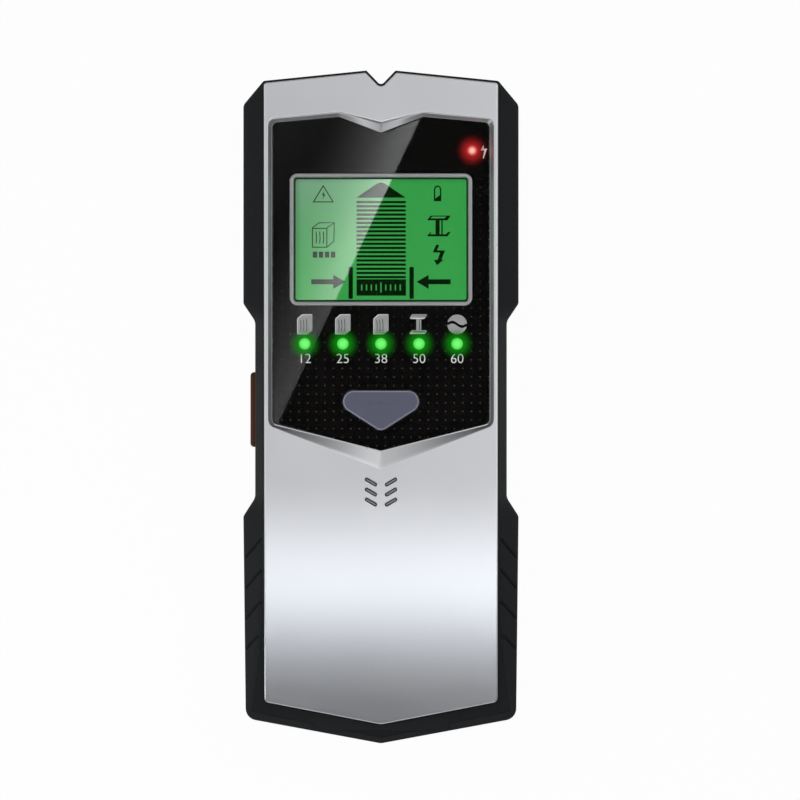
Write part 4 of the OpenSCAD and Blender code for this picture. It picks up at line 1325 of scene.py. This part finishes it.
# Front key: a soft shield with a rounded edge, a shallow dome and three low raised bars
keyBarPlan = {"xs": (-2.6, 0.0, 2.6), "y": 1.0, "wide": 1.5, "tall": 0.6, "r": 0.3}


def makeModeKey():
    k, p = keyPlan, keyBarPlan
    top, edge, dome, flange, shelf = keyHigh[2], k["edge"], k["dome"], k["flange"], keyLow[2] + 1
    layers = [(keyLoop(flange), keyLow[2]), (keyLoop(flange), shelf), (keyLoop(0.0), shelf)]
    layers += [(keyLoop(-inset), top - dome - drop) for inset, drop in quarterTurn(edge, 7)]
    base = keyLoop(-edge)
    middle = Vector(k["middle"])
    layers += [([middle.lerp(q, s) for q in base], top - dome * s * s) for s in (0.8, 0.6, 0.4, 0.2)]
    shell = newShell()
    closeRings(shell, [addRing(shell, *layer) for layer in layers])
    dressPiece(rawPiece("modeKey", shell), keyGrey, "mode_key", ["mode_button"], 50)
    marks = newShell()
    for x in p["xs"]:
        corners = boxCorners(p["wide"], p["tall"], p["r"], x, p["y"])
        addBar(marks, corners, [(0.0, top - 0.3), (0.0, top + 0.01), (-0.12, top + 0.07)])
    dressPiece(rawPiece("modeKeyBars", marks), keyGrey, "mode_key", ())


makeModeKey()


# Side key: a long button with a rounded face on a flange
scanPlan = {"r": 1.75, "edge": 0.9, "fill": {0: 6, 1: 40, 2: 6, 3: 40}}


def makeScanKey():
    outer, inner = scanLow[0], scanHigh[0]
    flangeX = inner - scanRim
    back = boxCorners(scanWide + 2 * scanRim, scanTall + 2 * scanRim, scanPlan["r"], *scanMiddle)
    front = boxCorners(scanWide, scanTall, scanPlan["r"], *scanMiddle)
    layers = [(back, inner), (back, flangeX), (front, flangeX)]
    layers += [(insetCorners(front, inset), outer + rise) for inset, rise in quarterTurn(scanPlan["edge"], 6)]
    obj = sideSolid("scanKey", [(filletLoop(corners, 8, scanPlan["fill"]), x) for corners, x in layers])
    dressPiece(obj, looks["keyRed"], "scan_key", ["scan_button"], 50)


makeScanKey()
print("lamps and keys made")


# Carried-over nodes keep their shape and get their own finish
nodeLooks = {
    "lcd_backlight": "guideClear", "zebra_strips": "stripPink", "main_board": "boardGreen",
    "controller_chip": "chipBlack", "signal_chips": "chipBlack", "mode_plunger": "nylonPale",
    "mode_switch": "nylonBlack", "scan_plunger": "nylonPale", "scan_switch": "nylonBlack",
    "buzzer": "nylonBlack", "sensor_board": "boardGreen", "sensor_plates": "copperBare",
    "metal_coil": "copperBare", "board_header": "nylonBlack", "battery": "canWrap",
    "battery_terminals": "plateZinc", "battery_snap": "chipBlack", "lead_red": "wireRedSkin",
    "lead_black": "wireBlackSkin", "case_screws": "plateZinc", "board_screws": "plateZinc",
    "sensor_screws": "plateZinc"}
carriedLooks = {"lcd_glass": panelGreen, **{node: looks[name] for node, name in nodeLooks.items()}}
for nodeName, nodeLook in carriedLooks.items():
    slots = cadNodes[nodeName].data.materials
    slots.clear()
    slots.append(nodeLook)
print("carried-over nodes dressed", len(carriedLooks))


# Stage: pale floor, soft sky, softboxes and strips, and a card that the window mirrors
stagePlan = {"floor": 6.0, "drop": 0.0004, "white": 0.97, "mirrored": 0.35}


def flatPiece(name, points, look):
    mesh = bpy.data.meshes.new(name)
    mesh.from_pydata(points, [], [(0, 1, 2, 3)])
    mesh.materials.append(look)
    return addObject(name, mesh)


# Floor: white to the camera, dimmer in reflections, and clear from below
def makeFloor():
    look, tree, shader = newLook("paleFloor")
    feed(tree, shader, {"Base Color": (0.86, 0.86, 0.85), "Roughness": 0.8})
    path = place(tree, "LightPath").outputs
    mirrored = mathNode(tree, "MULTIPLY", path["Is Glossy Ray"], stagePlan["mirrored"])
    seen = mathNode(tree, "MAXIMUM", path["Is Camera Ray"], mirrored)
    seen = mathNode(tree, "MAXIMUM", seen, path["Is Transmission Ray"])
    glow = place(tree, "Emission", {"Strength": 1}).outputs[0]
    white = mixShaders(tree, mathNode(tree, "MULTIPLY", seen, stagePlan["white"]), shader.outputs[0], glow)
    behind = place(tree, "NewGeometry").outputs["Backfacing"]
    clear = place(tree, "BsdfTransparent").outputs[0]
    showSurface(tree, mixShaders(tree, behind, white, clear))
    r, z = stagePlan["floor"], -stagePlan["drop"]
    obj = flatPiece("floor", [(-r, -r, z), (r, -r, z), (r, r, z), (-r, r, z)], look)


makeFloor()

# Sky brightness by the angle from straight up, in degrees; the dim part lies towards the handle
skyPlan = {
    "steps": [(0, 0.007), (4.4, 0.007), (6.2, 0.915), (24, 0.84), (40, 0.52), (60, 0.27), (90, 0.15)],
    "dim": (-0.187, -0.26, 0.08), "back": (50, 66)}


def makeSky():
    world = bpy.data.worlds.new("studioSky")
    world.use_nodes = True
    scene.world = world
    tree = world.node_tree
    axes = axesOf(tree, spotOf(tree, "Generated"))
    tilt = mathNode(tree, "DIVIDE", mathNode(tree, "ARCCOSINE", axes["Z"]), math.pi / 2)
    start, end, least = skyPlan["dim"]
    shade = spanValue(tree, axes["Y"], least, 1.0, end, start)
    back = spanValue(tree, tilt, 0.0, 1.0, *(v / 90 for v in skyPlan["back"]))
    shade = mathNode(tree, "MAXIMUM", shade, back)
    light = mathNode(tree, "MULTIPLY", rampOf(tree, tilt, skyPlan["steps"], 90), shade)
    feed(tree, tree.nodes["Background"], {"Color": light})


makeSky()

# Area lamps: aim, angle from straight up, azimuth, distance, size, power and colour
lightPlan = {
    "handleStrip": ((0, -0.046, 0.028), 13.5, 180, 1.2, (1.0, 0.12), 0.75, (0.93, 0.975, 1.05)),
    "faceStrip": ((0, -0.046, 0.028), 9.1, 180, 1.2, (1.0, 0.12), 0.22),
    "leftSoftbox": ((0, 0, 0), 48, -80, 1.3, (0.8, 0.8), 1.5),
    "rightSoftbox": ((0, 0, 0), 48, 80, 1.3, (0.8, 0.8), 1.4),
    "frontSoftbox": ((0, 0, 0), 62, 180, 1.3, (0.8, 0.4), 1.2),
    "gripLight": ((-0.034, -0.055, 0.022), 62, -120, 0.12, (0.06, 0.03), 0.03),
    "sideStrip": ((0, 0, 0.03), 15, 90, 0.35, (0.5, 0.03), 0.06)}


def makeLight(name, aim, angle, azimuth, far, size, power, colour=(1, 1, 1)):
    data = bpy.data.lights.new(name, "AREA")
    data.shape = "RECTANGLE"
    data.size, data.size_y = size
    data.energy = power
    data.color = colour
    tilt, turn = math.radians(angle), math.radians(azimuth)
    away = Vector((math.sin(tilt) * math.sin(turn), math.sin(tilt) * math.cos(turn), math.cos(tilt)))
    obj = addObject(name, data)
    obj.location = Vector(aim) + away * far
    obj.rotation_euler = away.to_track_quat("Z", "Y").to_euler()
    obj.visible_camera = False


for lightName, lightValues in lightPlan.items():
    makeLight(lightName, *lightValues)

# Card: its straight edge makes the slanting reflection; points are given on the lens
cardPlan = {
    "edge": [(10.0, 72.5), (-25.75, -4.2)], "wide": 48.0, "over": 40.0, "along": (2.8, 0.9, 1.95),
    "steps": [
        (0.0, 1.0), (0.6, 1.05), (3.0, 0.89), (6.0, 0.59), (10.0, 0.32), (15.0, 0.12), (20.0, 0.034),
        (30.0, 0.07), (48.0, 0.0)]}


def makeCard():
    level = (lensHigh[2] + cameraRise) / 2
    share = (level - lensHigh[2]) / (cameraRise - lensHigh[2])
    eye = Vector(cameraPlan["middle"])
    a, b = (Vector(p) for p in cardPlan["edge"])
    along = (b - a).normalized()
    left = Vector((along.y, -along.x))
    over, wide = cardPlan["over"], cardPlan["wide"]
    first, last = a - along * over, b + along * over
    spots = [p + (p - eye) * share for p in (first, last, last + left * wide, first + left * wide)]
    origin = spots[0]
    look, tree, shader = newLook("cardGlow")
    tree.nodes.remove(shader)
    axes = axesOf(tree, spotOf(tree))
    away = mathNode(tree, "DIVIDE", axes["X"], wide * (1 + share) * mm)
    ends = [v * (1 + share) * mm for v in (over, over + (b - a).length)]
    most, least, curve = cardPlan["along"]
    fall = mathNode(tree, "POWER", spanValue(tree, axes["Y"], 1.0, 0.0, *ends), curve)
    glow = place(tree, "Emission", {
        "Color": rampOf(tree, away, cardPlan["steps"], wide),
        "Strength": mathNode(tree, "MULTIPLY_ADD", fall, most - least, least)})
    showSurface(tree, glow.outputs[0])
    points = [((p - origin).dot(left) * mm, (p - origin).dot(along) * mm, 0) for p in spots]
    obj = flatPiece("lensCard", points, look)
    obj.location = (origin.x * mm, origin.y * mm, level * mm)
    obj.rotation_euler = (0, 0, math.atan2(left.y, left.x))
    obj.visible_camera = False
    obj.visible_diffuse = False
    obj.visible_shadow = False


makeCard()
print("stage made")
